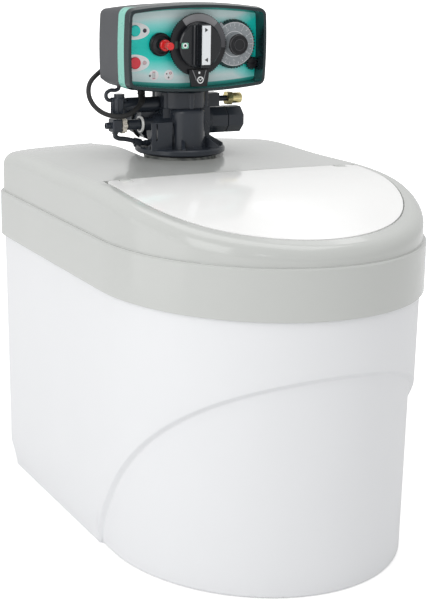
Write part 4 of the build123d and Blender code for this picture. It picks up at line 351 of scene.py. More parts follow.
moulded("gear_cream", (222, 218, 200), 0.45, tone=0.06, edge=0.2, light=0.3)
moulded("gear_teal", (26, 62, 62), 0.4, tone=0.15, edge=0.2, light=1.5)
moulded("rubber_black", (30, 30, 30), 0.62, tone=0.15, grain=1800.0, depth=0.05, edge=0.3, light=0.8)
moulded("well_white", (228, 228, 222), 0.42, tone=0.04, depth=0.03, edge=0.6, light=0.2)
moulded("float_red", (196, 48, 36), 0.4, tone=0.08, edge=0.6, light=0.4)
moulded("plunger_red", (222, 32, 34), 0.22, coat=0.5, tone=0.06, edge=0.4, light=0.4)
moulded("start_green", (0, 226, 214), 0.25, coat=0.4, tone=0.06, edge=0.4, light=0.4)
moulded("stop_red", (244, 52, 70), 0.25, coat=0.4, tone=0.06, edge=0.4, light=0.4)
for ink, colour, roughness, drift, thick in (
        ("white", (252, 254, 255), 0.4, 0.03, False), ("dark", (44, 46, 48), 0.45, 0.1, False),
        ("rose", (206, 150, 160), 0.4, 0.1, False), ("grey", (142, 142, 145), 0.45, 0.12, True),
        ("shade", (92, 92, 96), 0.45, 0.12, True), ("moss", (70, 92, 84), 0.45, 0.12, True)):
    depth, edge, light = (0.01, 0.05, 0.2) if thick else (0.005, 0.02, 0.1)
    moulded(f"print_{ink}", colour, roughness, tone=drift, grain=3000.0, depth=depth, edge=edge, light=light)
moulded("knob_insert", (242, 246, 245), 0.3, coat=0.3, tone=0.05, edge=0.2, light=0.3)
moulded("lens_tinted", (226, 200, 204), 0.12, coat=0.6, tone=0.08, edge=0.3, light=0.5)
print(len(finishes), "moulded finishes")

# %% Two colours in one piece, and painted shade on the trim


def object_axes(tree):
    """Object coordinates, one output for each axis."""
    parts = add_node(tree, "ShaderNodeSeparateXYZ")
    feed(tree, object_place(tree), parts.inputs[0])
    return parts.outputs


def ramp_between(tree, share, low, high):
    ramp = add_node(tree, "ShaderNodeValToRGB")
    for element, colour in zip(ramp.color_ramp.elements, (low, high)):
        element.color = colour
    feed(tree, share, ramp.inputs["Fac"])
    return ramp.outputs["Color"]


def soft_step(tree, value, near, far, start=0.0, end=1.0):
    """From start to end, softly, while the value goes from near to far."""
    step = add_node(tree, "ShaderNodeMapRange", interpolation_type="SMOOTHSTEP")
    feed(tree, value, step.inputs["Value"])
    for name, number in (("From Min", near), ("From Max", far), ("To Min", start), ("To Max", end)):
        step.inputs[name].default_value = number
    return step.outputs["Result"]


def recolour(tree, share, low, high):
    colour = ramp_between(tree, share, screen(*low), screen(*high))
    feed(tree, colour, tree.nodes["Group"].inputs["Colour"])


def split_colour(name, axis, limit, below, above):
    """Two mouldings of one node in their own colours, on the two sides of a limit in millimetres."""
    tree = finishes[name].node_tree
    side = math_node(tree, "GREATER_THAN", object_axes(tree)[axis], limit * MM)
    recolour(tree, side, below, above)


def ends_only(name, near, far, middle, ends):
    """The second colour where the piece is further than a limit from the middle, to its left and right."""
    tree = finishes[name].node_tree
    away = math_node(tree, "ABSOLUTE", object_axes(tree)["X"])
    recolour(tree, soft_step(tree, away, near * MM, far * MM), middle, ends)


TRIM_PAINTED_SHADE_TO = 62.0
TRIM_MINT_FROM = 76.0
WINDOW_LEFT_OF = -8.0
UPPER_LENS_ABOVE = 475.0
# Painted shade: the trim's top and bottom near the middle are coloured dark, and only its left and right ends
# keep the mint.
ends_only("trim_mint", TRIM_PAINTED_SHADE_TO, TRIM_MINT_FROM, (44, 58, 57), (132, 206, 190))
split_colour("knob_insert", "X", WINDOW_LEFT_OF, (128, 206, 178), (240, 243, 246))
split_colour("lens_tinted", "Z", UPPER_LENS_ABOVE, (228, 200, 204), (62, 34, 58))
print("two-colour finishes done")

# %% [markdown]
# ## Finishes that aren't moulded
# Brass parts are turned on a lathe, which leaves fine rings round the axis, and stainless screws are
# pressed and tumbled, so steel keeps the drift and grain of the moulded group. The dial ring is a
# greyish clear plastic that lets some of the light through. The resin tank is wound from glass fibre,
# and its bed is a mass of small amber beads. The others get the pattern of how they are made: rings
# and windings from a wave, beads from a cell texture, and the tracks of the terminal board from
# bricks. A picture texture could do it too, but would blur close by.

# %% Metals


BRASS_RINGS = 500.0
RING_WAVER = 0.6
STAIN_SCALE = 160.0
RING_DEPTH = 0.02
BRASS_ROUGHNESS = 0.2
RING_ROUGHNESS = 0.12
ROUNDED_EDGE = 0.4


def turned_brass():
    tree, shader = start_material("brass")
    place = object_place(tree)
    rings = add_node(tree, "ShaderNodeTexWave", wave_type="BANDS", bands_direction="X")
    for name, value in (("Vector", place), ("Scale", BRASS_RINGS), ("Distortion", RING_WAVER)):
        feed(tree, value, rings.inputs[name])
    stain = noise_node(tree, place, STAIN_SCALE, BROAD_DETAIL)
    colour = ramp_between(tree, stain, screen(240, 214, 130), screen(255, 246, 196))
    feed(tree, colour, shader.inputs["Base Color"])
    rough = math_node(tree, "MULTIPLY_ADD", rings.outputs["Fac"], RING_ROUGHNESS, BRASS_ROUGHNESS)
    feed(tree, rough, shader.inputs["Roughness"])
    edge = rounded_normal(tree, ROUNDED_EDGE * MM)
    feed(tree, bumped_normal(tree, rings.outputs["Fac"], RING_DEPTH * MM, edge), shader.inputs["Normal"])
    shader.inputs["Metallic"].default_value = 1.0


turned_brass()
moulded("steel", (190, 192, 194), 0.3, tone=0.1, gloss=0.2, grain=2500.0, edge=0.2, light=0.2, metal=1.0)
print("metals done")

# %% Clear plastics


CLOUD_SCALE = 260.0
CLOUD_SHADE = 0.86
CLOUD_ROUGHNESS = 0.1
PLASTIC_IOR = 1.49


def clear_plastic(name, colour, roughness, through):
    tree, shader = start_material(name)
    cloud = noise_node(tree, object_place(tree), CLOUD_SCALE, BROAD_DETAIL)
    full = screen(*colour)
    shade = [part * CLOUD_SHADE for part in full[:3]] + [1]
    feed(tree, ramp_between(tree, cloud, shade, full), shader.inputs["Base Color"])
    rough = math_node(tree, "MULTIPLY_ADD", cloud, CLOUD_ROUGHNESS, roughness)
    feed(tree, rough, shader.inputs["Roughness"])
    shader.inputs["Transmission Weight"].default_value = through
    shader.inputs["IOR"].default_value = PLASTIC_IOR
    feed(tree, rounded_normal(tree, ROUNDED_EDGE * MM), shader.inputs["Normal"])


clear_plastic("dial_clear", (186, 193, 198), roughness=0.06, through=0.3)
# Near white for the dial's relief: the ticks and numbers are moulded relief with a painted highlight, and the
# rims are only a painted highlight.
clear_plastic("relief_painted_highlight", (250, 252, 255), roughness=0.1, through=0.1)
print("clear plastics done")

# %% Wound tank, resin beads and circuit board


def patterned(name, low, high, kind, output, amounts, roughness, depth, **settings):
    """A material whose colour and height follow one texture."""
    tree, shader = start_material(name)
    texture = add_node(tree, kind, **settings)
    feed(tree, object_place(tree), texture.inputs["Vector"])
    for key, value in amounts.items():
        texture.inputs[key].default_value = value
    height = texture.outputs[output]
    feed(tree, ramp_between(tree, height, screen(*low), screen(*high)), shader.inputs["Base Color"])
    feed(tree, bumped_normal(tree, height, depth * MM), shader.inputs["Normal"])
    shader.inputs["Roughness"].default_value = roughness


patterned("tank_grey", (128, 132, 130), (168, 170, 166), "ShaderNodeTexWave", "Fac",
          {"Scale": 60.0, "Distortion": 2.0}, roughness=0.42, depth=0.15, wave_type="BANDS",
          bands_direction="DIAGONAL")
patterned("resin_amber", (214, 150, 62), (130, 74, 20), "ShaderNodeTexVoronoi", "Distance",
          {"Scale": 1100.0}, roughness=0.3, depth=0.4)
patterned("board_green", (34, 96, 60), (22, 70, 44), "ShaderNodeTexBrick", "Fac",
          {"Scale": 90.0}, roughness=0.35, depth=0.05)
print("patterns done")

# %% [markdown]
# ## The printed panel
# The timer's panel is a blue-green sheet that fades to almost white along its top and bottom, with a
# thin darker green line round it. A picture could be pasted on, but the fade is simple enough to be
# made from the height on the panel itself, so it is sharp at any size.

# %% The panel's fade and its line
PANEL_FADE = ((0.0, (6, 222, 208)), (0.36, (26, 230, 216)), (0.6, (160, 246, 242)), (0.78, (232, 255, 255)),
              (1.0, (224, 255, 255)))
PANEL_LINE = ((0.0, (255, 255, 255)), (0.925, (255, 255, 255)), (0.94, (78, 190, 180)), (1.0, (40, 150, 140)))


def colour_ramp(tree, share, stops):
    ramp = add_node(tree, "ShaderNodeValToRGB")
    elements = ramp.color_ramp.elements
    while len(elements) < len(stops):
        elements.new(0.5)
    for element, (position, colour) in zip(elements, stops):
        element.position = position
        element.color = screen(*colour)
    feed(tree, share, ramp.inputs["Fac"])
    return ramp.outputs["Color"]


print("fade in", len(PANEL_FADE), "stops")

# %% Panel material
TIMER_Z = 474.2
PANEL_HALF = 40.6
PANEL_BOW = 0.85
LOWER_HALF_SHIFT = 1.4
MIST_SCALE = 30.0
MIST_DEPTH = 5.0
GREEN_FROM = 48.0
GREEN_SLOPE = 0.7
PRINT_GRAIN = 2400.0
PRINT_DETAIL = 2.0
PRINT_ROUGHNESS = 0.22
GRAIN_ROUGHNESS = 0.1


def panel_material():
    tree, shader = start_material("panel_green")
    axes = object_axes(tree)
    place = object_place(tree)
    bow = math_node(tree, "MULTIPLY", math_node(tree, "MULTIPLY", axes["X"], axes["X"]), PANEL_BOW)
    height = math_node(tree, "SUBTRACT", axes["Z"], TIMER_Z * MM)
    away = math_node(tree, "ADD", math_node(tree, "ABSOLUTE", height), bow)
    low = math_node(tree, "LESS_THAN", height, 0.0)
    away = math_node(tree, "MULTIPLY_ADD", low, LOWER_HALF_SHIFT * MM, away)
    mist = drift_about_zero(tree, noise_node(tree, place, MIST_SCALE, PRINT_DETAIL), MIST_DEPTH * MM)
    right = math_node(tree, "SUBTRACT", axes["X"], GREEN_FROM * MM)
    right = math_node(tree, "MULTIPLY", math_node(tree, "MAXIMUM", right, 0.0), GREEN_SLOPE)
    near = math_node(tree, "SUBTRACT", math_node(tree, "ADD", away, mist), right)
    printed = add_node(tree, "ShaderNodeVectorMath", operation="MULTIPLY")
    for socket, reach, stops in zip(printed.inputs, (near, away), (PANEL_FADE, PANEL_LINE)):
        share = math_node(tree, "DIVIDE", reach, PANEL_HALF * MM)
        feed(tree, colour_ramp(tree, share, stops), socket)
    feed(tree, printed.outputs[0], shader.inputs["Base Color"])
    fine = noise_node(tree, place, PRINT_GRAIN, PRINT_DETAIL)
    rough = math_node(tree, "MULTIPLY_ADD", fine, GRAIN_ROUGHNESS, PRINT_ROUGHNESS)
    feed(tree, rough, shader.inputs["Roughness"])


panel_material()
print("panel done")

# %% [markdown]
# ## Dressing the CAD pieces
# Most pieces already have the right shape and smooth normals, so they keep their mesh and only get
# their finish. A table of names is easier to read and to change than sixty separate lines.

# %% A finish for every node
NODE_FINISH = {
    "tub_white": ("cabinet_tub",),
    "cover_grey": ("cover",),
    "lid_white": ("salt_lid",),
    "steel": ("lid_hinge_pins", "screws", "programme_shaft"),
    "tank_grey": ("resin_tank",),
    "resin_amber": ("resin_bed",),
    "rubber_black": ("tank_foot", "neck_seal", "port_clips", "piston_rings", "cable_glands", "cable_loop",
                     "brine_hose"),
    "well_white": ("brine_well", "brine_well_cap", "riser_tube", "pickup_tube", "bottom_strainer",
                   "top_strainer"),
    "float_red": ("brine_float",),
    "valve_black": ("brine_safety_valve", "valve_body", "valve_bonnet", "right_end_cap", "brine_barrel",
                    "brine_box", "link_tube", "tube_clip", "injector_housing", "pilot_tube", "port_adapters"),
    "brass": ("drain_nut",),
    "clip_white": ("retaining_clip",),
    "star_cream": ("star_wheel",),
    "housing_grey": ("timer_housing", "timer_motor", "switch_block"),
    "hood_dark": ("timer_hood",),
    "trim_mint": ("timer_trim",),
    "panel_green": ("panel_plate",),
    "disc_black": ("programme_disc", "index_pointer", "clock_hub", "plunger_collar", "setting_wheel"),
    "knob_black": ("programme_knob",),
    "knob_insert": ("knob_inserts",),
    "gear_cream": ("programme_gear", "timer_cams", "motor_pinion", "piston"),
    "gear_teal": ("clock_gear",),
    "dial_clear": ("clock_dial",),
    "lens_tinted": ("indicator_lenses",),
    "plunger_red": ("plunger",),
    "start_green": ("start_button",),
    "stop_red": ("stop_button",),
    "board_green": ("terminal_board",),
}


def dress(piece, finish):
    piece.data.materials.clear()
    piece.data.materials.append(finishes[finish])


for finish, names in NODE_FINISH.items():
    for name in names:
        dress(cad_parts[name], finish)
bare = set(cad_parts) - {name for names in NODE_FINISH.values() for name in names}
print("nodes without a finish:", sorted(bare))

# %% [markdown]
# ## New pieces
# A new piece is a mesh whose place is in its points, so that it can ride on a CAD body and be
# exported as it stands. One helper takes points in millimetres and does the rest: it makes the mesh,
# shades it smooth except over sharp edges, gives it its finish and lets it ride.

# %% Helper for a new piece
SHARP = radians(32.0)


def settle(piece, body, finish, replaced=()):
    dress(piece, finish)
    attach(piece, body)
    if replaced:
        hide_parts(*replaced)
    return piece


def mesh_piece(name, points, faces, body, finish, replaced=()):
    """A piece from points in millimetres."""
    mesh = bpy.data.meshes.new(name)
    mesh.from_pydata([Vector(p) * MM for p in points], [], faces)
    mesh.validate()
    mesh.shade_smooth()
    mesh.set_sharp_from_angle(angle=SHARP)
    return settle(place_in_scene(name, mesh), body, finish, replaced)


def from_evaluated(holder, name):
    """A plain mesh object from another object, which is then removed."""
    mesh = evaluated_mesh(holder)
    mesh.name = name
    bpy.data.objects.remove(holder)
    return place_in_scene(name, mesh)


print("sharp above", round(degrees(SHARP)), "degrees")

# %% [markdown]
# ## The cabinet's tub
# The tub is one blow-moulded shell, D-shaped in plan, slightly tapered, with a lower front panel set
# back under an arch that runs right round the front. On the real one the step along the arch is a
# soft S of a few millimetres. Cutting it with a boolean leaves a hard edge, so the shell is laid out
# as columns instead: in each column a band of rows follows the arch and carries the S.

# %% Outline of the cabinet
HALF_WIDTH = 160.0
HALF_DEPTH = 249.0
FRONT_BOW = 181.5
BOW_Y = FRONT_BOW - HALF_DEPTH
REAR_CORNER = 44.0
CORNER_X = HALF_WIDTH - REAR_CORNER
CORNER_Y = HALF_DEPTH - REAR_CORNER


def shares(count):
    return [number / count for number in range(count)]


def outline_places(front, side, corner, rear):
    """Stations round the cabinet: (part, share along it), counter-clockwise from the left of the bow."""
    places = [("front", share) for share in shares(front)]
    places += [("right", share ** 2) for share in shares(side)]
    places += [("right corner", share) for share in shares(corner)]
    places += [("rear", share) for share in shares(rear)]
    places += [("left corner", share) for share in shares(corner)]
    places += [("left", 1 - (1 - share) ** 2) for share in shares(side)]
    return places


def outline_point(place, inset):
    part, share = place
    half = HALF_WIDTH - inset
    radius = REAR_CORNER - inset
    if part == "front":
        angle = pi * (1 + share)
        return half * cos(angle), BOW_Y + (FRONT_BOW - inset) * sin(angle)
    if part == "right":
        return half, BOW_Y + (CORNER_Y - BOW_Y) * share
    if part == "right corner":
        return CORNER_X + radius * cos(pi / 2 * share), CORNER_Y + radius * sin(pi / 2 * share)
    if part == "rear":
        return CORNER_X * (1 - 2 * share), CORNER_Y + radius
    if part == "left corner":
        return -CORNER_X - radius * sin(pi / 2 * share), CORNER_Y + radius * cos(pi / 2 * share)
    return -half, CORNER_Y + (BOW_Y - CORNER_Y) * share


print("bow starts at", BOW_Y)

# %% The arch as two tangent circles in side view
ARCH_FOOT = (-41.18, 0.0)
ARCH_KNEE = (-52.44, 40.11)
ARCH_MIDDLE = (-150.08, 153.15)
ARCH_PEAK = (-244.46, 214.5)


def circle_through(a, b, c):
    """Centre and radius of the circle through three points."""
    d = 2 * (a[0] * (b[1] - c[1]) + b[0] * (c[1] - a[1]) + c[0] * (a[1] - b[1]))
    squares = [p[0] ** 2 + p[1] ** 2 for p in (a, b, c)]
    x = (squares[0] * (b[1] - c[1]) + squares[1] * (c[1] - a[1]) + squares[2] * (a[1] - b[1])) / d
    y = (squares[0] * (c[0] - b[0]) + squares[1] * (a[0] - c[0]) + squares[2] * (b[0] - a[0])) / d
    return (x, y), hypot(a[0] - x, a[1] - y)


UPPER_CENTRE, UPPER_RADIUS = circle_through(ARCH_KNEE, ARCH_MIDDLE, ARCH_PEAK)


def lower_circle():
    """The circle that meets the upper one at the knee in the same direction and ends at the foot."""
    normal = Vector(ARCH_KNEE) - Vector(UPPER_CENTRE)
    normal.normalize()
    chord = Vector(ARCH_FOOT) - Vector(ARCH_KNEE)
    reach = chord.length_squared / (2 * normal.dot(chord))
    centre = Vector(ARCH_KNEE) + normal * reach
    return (centre.x, centre.y), abs(reach)


LOWER_CENTRE, LOWER_RADIUS = lower_circle()


def arch_height(y):
    """Height of the arch at a depth, and the cosine of its slope there."""
    if y >= ARCH_FOOT[0]:
        return 0.0, 1.0
    if y < ARCH_PEAK[0]:
        return ARCH_PEAK[1] + (ARCH_PEAK[0] - y) / 2, 1.0
    centre, radius = (LOWER_CENTRE, LOWER_RADIUS) if y > ARCH_KNEE[0] else (UPPER_CENTRE, UPPER_RADIUS)
    rise = sqrt(max(radius ** 2 - (y - centre[0]) ** 2, 0))
    above = centre[1] < (ARCH_KNEE[1] if y > ARCH_KNEE[0] else ARCH_MIDDLE[1])
    height = centre[1] + rise if above else centre[1] - rise
    return height, rise / radius


print("arch circles", round(UPPER_RADIUS), round(LOWER_RADIUS))
print("knee", round(arch_height(ARCH_KNEE[0])[0], 2))

# %% Rows of a column
TUB_TOP = 300.0
ARCH_BAND = 5.5
FOOT_ROUND = 3.0
FOOT_ROWS = 4
LOW_ROWS = 12
BAND_ROWS = 12
HIGH_ROWS = 12
STEEPEST = 0.2


def column_rows(y):
    """Heights of a column's rows, low ones, those along the arch and high ones."""
    arch, slope = arch_height(y)
    start = max(arch - ARCH_BAND / max(slope, STEEPEST), 0)
    low = min(FOOT_ROUND, start)
    rows = [low * share for share in shares(FOOT_ROWS)]
    rows += [low + (start - low) * share for share in shares(LOW_ROWS)]
    rows += [start + (arch - start) * share for share in shares(BAND_ROWS)]
    rows += [arch + (TUB_TOP - arch) * share for share in shares(HIGH_ROWS)]
    return rows + [TUB_TOP]


print(len(column_rows(BOW_Y)), "rows")

# %% Columns of the tub
TUB_WALL = 3.0
INNER_SHARE = (TUB_TOP - TUB_WALL) / TUB_TOP
INSET_FLOOR = 7.1
INSET_TOP = 3.6
RECESS = 4.9
TUCK = 42.0


def rear_limit(z, extra):
    """The tub's rear edge under its rounded lower corner."""
    radius = TUCK - extra
    rise = max(min(z, TUCK), extra)
    return HALF_DEPTH - INSET_FLOOR - TUCK + sqrt(max(radius ** 2 - (TUCK - rise) ** 2, 0))


def tub_inset(y, z):
    """How far the wall is inside the cabinet's outline: draft, rounded foot and the S of the arch."""
    inset = INSET_FLOOR + (INSET_TOP - INSET_FLOOR) * z / TUB_TOP
    arch, slope = arch_height(y)
    below = (arch - z) * slope if arch > 0 else 0
    share = min(max(below / ARCH_BAND, 0), 1)
    inset += RECESS * share * share * (3 - 2 * share)
    if z < FOOT_ROUND:
        inset += FOOT_ROUND - sqrt(FOOT_ROUND ** 2 - (FOOT_ROUND - z) ** 2)
    return inset


def tub_point(place, z, extra):
    y = outline_point(place, INSET_FLOOR)[1]
    x, y_wall = outline_point(place, tub_inset(y, z) + extra)
    if z < TUCK:
        y_wall = min(y_wall, rear_limit(z, extra))
    return x, y_wall, z


TUB_PLACES = outline_places(front=240, side=60, corner=14, rear=24)
print(len(TUB_PLACES), "columns")

# %% The tub's shell


def ring_faces(rows, count):
    """Faces between rows of closed rings of points, and one face over each end."""
    faces = []
    for row in range(rows - 1):
        for number in range(count):
            a, b = row * count + number, row * count + (number + 1) % count
            faces.append((a, b, b + count, a + count))
    return faces + [tuple(reversed(range(count))), tuple(range((rows - 1) * count, rows * count))]


def tub_shell():
    points = []
    columns = [column_rows(outline_point(place, INSET_FLOOR)[1]) for place in TUB_PLACES]
    rows = len(columns[0])
    for row in range(rows):
        points += [tub_point(place, column[row], 0) for place, column in zip(TUB_PLACES, columns)]
    for row in reversed(range(rows)):
        points += [tub_point(place, TUB_WALL + column[row] * INNER_SHARE, TUB_WALL)
                   for place, column in zip(TUB_PLACES, columns)]
    faces = ring_faces(2 * rows, len(TUB_PLACES))
    return mesh_piece("tub_shell", points, faces, "cabinet", "tub_white", ["cabinet_tub"])


tub = tub_shell()
print("tub", len(tub.data.vertices), "points")

# %% [markdown]
# ## Flat printed marks
# Ovals, marks and bands on the panel and the dials are pad printed: a film of ink with a crisp edge. On the
# dials, some of these flat pieces also carry painted highlight and painted shade.
# They could be painted in a texture, but thin flat pieces keep their edge from close by and export
# well. A flat Blender curve fills its outline and leaves holes where it has inner outlines, which is
# just what an oval with a button through it needs.

# %% Helper for flat marks
INK = 0.12


def oval_points(x, z, wide, tall, count):
    turns = [2 * pi * share for share in shares(count)]
    return [(x + wide * cos(turn), z + tall * sin(turn)) for turn in turns]


def round_points(x, z, radius, count):
    return oval_points(x, z, radius, radius, count)


def stand_up(piece, place):
    """Turn a flat piece to face forwards and move it to a place, in metres."""
    piece.data.transform(Matrix.Translation(place) @ Matrix.Rotation(pi / 2, 4, "X"))


def flat_mark(name, outlines, front_y, body, finish):
    """Closed outlines as (x, z) in front view, filled, with inner outlines as holes."""
    curve = bpy.data.curves.new(name, "CURVE")
    curve.dimensions = "2D"
    curve.fill_mode = "BOTH"
    curve.extrude = INK / 2 * MM
    for outline in outlines:
        spline = curve.splines.new("POLY")
        spline.points.add(len(outline) - 1)
        for point, (x, z) in zip(spline.points, outline):
            point.co = (x * MM, z * MM, 0, 1)
        spline.use_cyclic_u = True
    piece = from_evaluated(place_in_scene(name, curve), name)
    stand_up(piece, (0, (front_y - INK / 2) * MM, 0))
    return settle(piece, body, finish)


print("ink", INK, "mm")

# %% Marks on the panel
PANEL_Y = 72.8
BUTTON_X = -63.3
LENS_X = -52.5
OVAL_X = -64.8
OVAL_HALF = 17.6
OVAL_TALL = 8.6
RIM_X = -74.2
BUTTONS = (("start", 491.3, 5.5), ("stop", 459.4, 5.9))
BUTTON_HEIGHTS = {"start": 491.6, "stop": 459.5}
BUTTON_GAP = 0.2
LENS_HOLE = 2.2


def oval_marks():
    for name, z, radius in BUTTONS:
        oval = [(max(x, RIM_X), h) for x, h in oval_points(OVAL_X, z, OVAL_HALF, OVAL_TALL, count=72)]
        hole = round_points(BUTTON_X, BUTTON_HEIGHTS[name], radius + BUTTON_GAP, count=48)
        lens = round_points(LENS_X, BUTTON_HEIGHTS[name], LENS_HOLE, count=32)
        flat_mark(f"{name}_oval", [oval, hole, lens], PANEL_Y, "cabinet", "print_white")


oval_marks()
print("ovals", len(BUTTONS))

# %% Two small signs
SIGN_DOT = (-46.6, 446.2)
SIGN_COLUMN = (-42.1, 446.6)
SIGN_KEY = (-25.2, 446.3)
SIGN_RADIUS = 5.3
COLUMN_END = (1.5, 0.5)
COLUMN_END_RISE = 3.2
COLUMN_SIDE = (0.25, 2.5)
COLUMN_SIDE_STEP = 1.0
KEY_BOW = (1.6, 2.0)
BOW_RADII = (1.5, 0.7)
KEY_TEETH = ((-2.6, 1.4, 0.8), (-0.4, -2.4, 0.9))
DOT_RADIUS = 1.1


def bar_points(x, z, half, tall):
    return [(x - half, z - tall), (x + half, z - tall), (x + half, z + tall), (x - half, z + tall)]


def sign_marks():
    for name, (x, z) in (("sign_column", SIGN_COLUMN), ("sign_key", SIGN_KEY)):
        disc = round_points(x, z, SIGN_RADIUS, count=56)
        flat_mark(name, [disc], PANEL_Y, "cabinet", "print_white")
    x, z = SIGN_COLUMN
    ends = [bar_points(x, z + rise, *COLUMN_END) for rise in (COLUMN_END_RISE, -COLUMN_END_RISE)]
    sides = [bar_points(x + step, z, *COLUMN_SIDE) for step in (-COLUMN_SIDE_STEP, COLUMN_SIDE_STEP)]
    flat_mark("column_ends", ends, PANEL_Y - INK, "cabinet", "print_rose")
    flat_mark("column_sides", sides, PANEL_Y - INK, "cabinet", "print_shade")
    x, z = SIGN_KEY
    right, up = KEY_BOW
    bow = [round_points(x + right, z + up, radius, count) for radius, count in zip(BOW_RADII, (28, 20))]
    teeth = [round_points(x + right, z + up, radius, count=20) for right, up, radius in KEY_TEETH]
    flat_mark("key_bow", bow, PANEL_Y - INK, "cabinet", "print_rose")
    flat_mark("key_teeth", teeth, PANEL_Y - INK, "cabinet", "print_shade")
    dot = round_points(*SIGN_DOT, DOT_RADIUS, count=28)
    flat_mark("sign_dot", [dot], PANEL_Y - 2 * INK, "cabinet", "print_dark")


sign_marks()
print("panel marks done")

# %% [markdown]
# ## Marks on the knob and the programme disc
# The disc behind the knob carries a grey band that shows the running programme. Its upper part is painted
# lighter and its right part darker, a painted highlight and painted shade from the light above. The grip bar
# has a white strip with a small arrow at each end, and a small window beside it. All of them turn with the
# knob, so they ride on its body and not on the cabinet.

# %% Sizes of the programme marks
PROG_X = 2.9
PROG_Z = 477.0
DISC_Y = 62.8
STRIP_Y = 44.15
WINDOW_Y = 55.85
BAND_OUTER = 31.2
BAND_INNER = 23.8
# The band's lighter upper part is painted light and its darker right part is painted shade.
BAND_START = 126.0
BAND_SWEEP = -80.0
SHADE_START = 45.6
SHADE_SWEEP = -52.0
SQUARE = (-20.6, PROG_Z + 0.4)
SQUARE_HALF = (2.6, 3.6)
ARROW_STEP = 1.6
ARROW_MIDDLE = 1.3
ARROW_RISE = 14.9
ARROW_LONG = 3.4
ARROW_HALF = 2.2
EYE = (-15.2, PROG_Z + 0.2)
EYE_OUTER = 2.5
EYE_INNER = 1.3
print("disc band", round(BAND_OUTER - BAND_INNER, 1), "mm wide")

# %% Programme marks


def band(x, z, outer, inner, start, sweep, count=48):
    """A ring's sector as one outline, angles in degrees."""
    turns = [radians(start) + radians(sweep) * number / count for number in range(count + 1)]
    out = [(x + outer * cos(turn), z + outer * sin(turn)) for turn in turns]
    back = [(x + inner * cos(turn), z + inner * sin(turn)) for turn in reversed(turns)]
    return out + back


def programme_mark(name, outlines, front_y, finish):
    flat_mark(name, outlines, front_y, "programme", finish)


def programme_marks():
    # Painted light and shade: the upper part of the band in lighter grey, the right part in darker grey.
    painted_light_band = band(PROG_X, PROG_Z, BAND_OUTER, BAND_INNER, BAND_START, BAND_SWEEP)
    programme_mark("disc_painted_light_band", [painted_light_band], DISC_Y, "print_grey")
    shade = band(PROG_X, PROG_Z, BAND_OUTER, BAND_INNER, SHADE_START, SHADE_SWEEP)
    programme_mark("disc_painted_shade_band", [shade], DISC_Y, "print_shade")
    programme_mark("disc_square", [bar_points(*SQUARE, *SQUARE_HALF)], DISC_Y, "print_moss")
    for side, name in ((-1, "strip_arrow_low"), (1, "strip_arrow_top")):
        tip = PROG_X + side * ARROW_STEP
        back = tip - side * ARROW_LONG
        z = PROG_Z + ARROW_MIDDLE + side * ARROW_RISE
        arrow = [(tip, z), (back, z + ARROW_HALF), (back, z - ARROW_HALF)]
        programme_mark(name, [arrow], STRIP_Y, "print_dark")
    inner = round_points(*EYE, EYE_INNER, count=32)
    ring = [round_points(*EYE, EYE_OUTER, count=40), inner]
    programme_mark("window_ring", ring, WINDOW_Y, "print_white")
    programme_mark("window_eye", [inner], WINDOW_Y, "print_dark")


programme_marks()
print("programme marks done")

# %% Marks on the fixed pointer
POINTER_Y = 59.1
DIAL_SIGN = (4.0, 441.7)
DIAL_SIGN_RADII = (3.6, 2.6)
HANDS = ((2.6, 442.6), (4.0, 440.5), (6.2, 443.4), (5.7, 443.7), (4.0, 441.4), (3.1, 442.9))
SPOT = (2.6, 449.2)
SPOT_HALF = (1.1, 1.3)
LEFT_LINE = ((-5.4, 452.0), (-4.6, 452.0), (0.1, 441.2), (-0.8, 441.2))
RIGHT_LINE = ((9.9, 452.0), (10.7, 452.0), (8.0, 441.2), (7.2, 441.2))


def pointer_marks():
    ring = [round_points(*DIAL_SIGN, radius, count) for radius, count in zip(DIAL_SIGN_RADII, (48, 40))]
    spot = [oval_points(*SPOT, *SPOT_HALF, count=24)]
    for name, outlines in (("pointer_ring", ring), ("pointer_hands", [HANDS]), ("pointer_spot", spot)):
        flat_mark(name, outlines, POINTER_Y, "cabinet", "print_white")
    flat_mark("pointer_lines", [LEFT_LINE, RIGHT_LINE], POINTER_Y, "cabinet", "print_grey")


pointer_marks()
print("pointer marks done")

# %% [markdown]
# ## Ticks, by Geometry Nodes
# A dial's ticks are the same small bar again and again round a circle. Copying them by hand makes a
# long list, and an array modifier bends badly round a ring. A node tree with the count, radius and
# bar size as inputs makes any dial here: points on a circle, one bar on each, turned to the centre.

# %% The tick ring tree


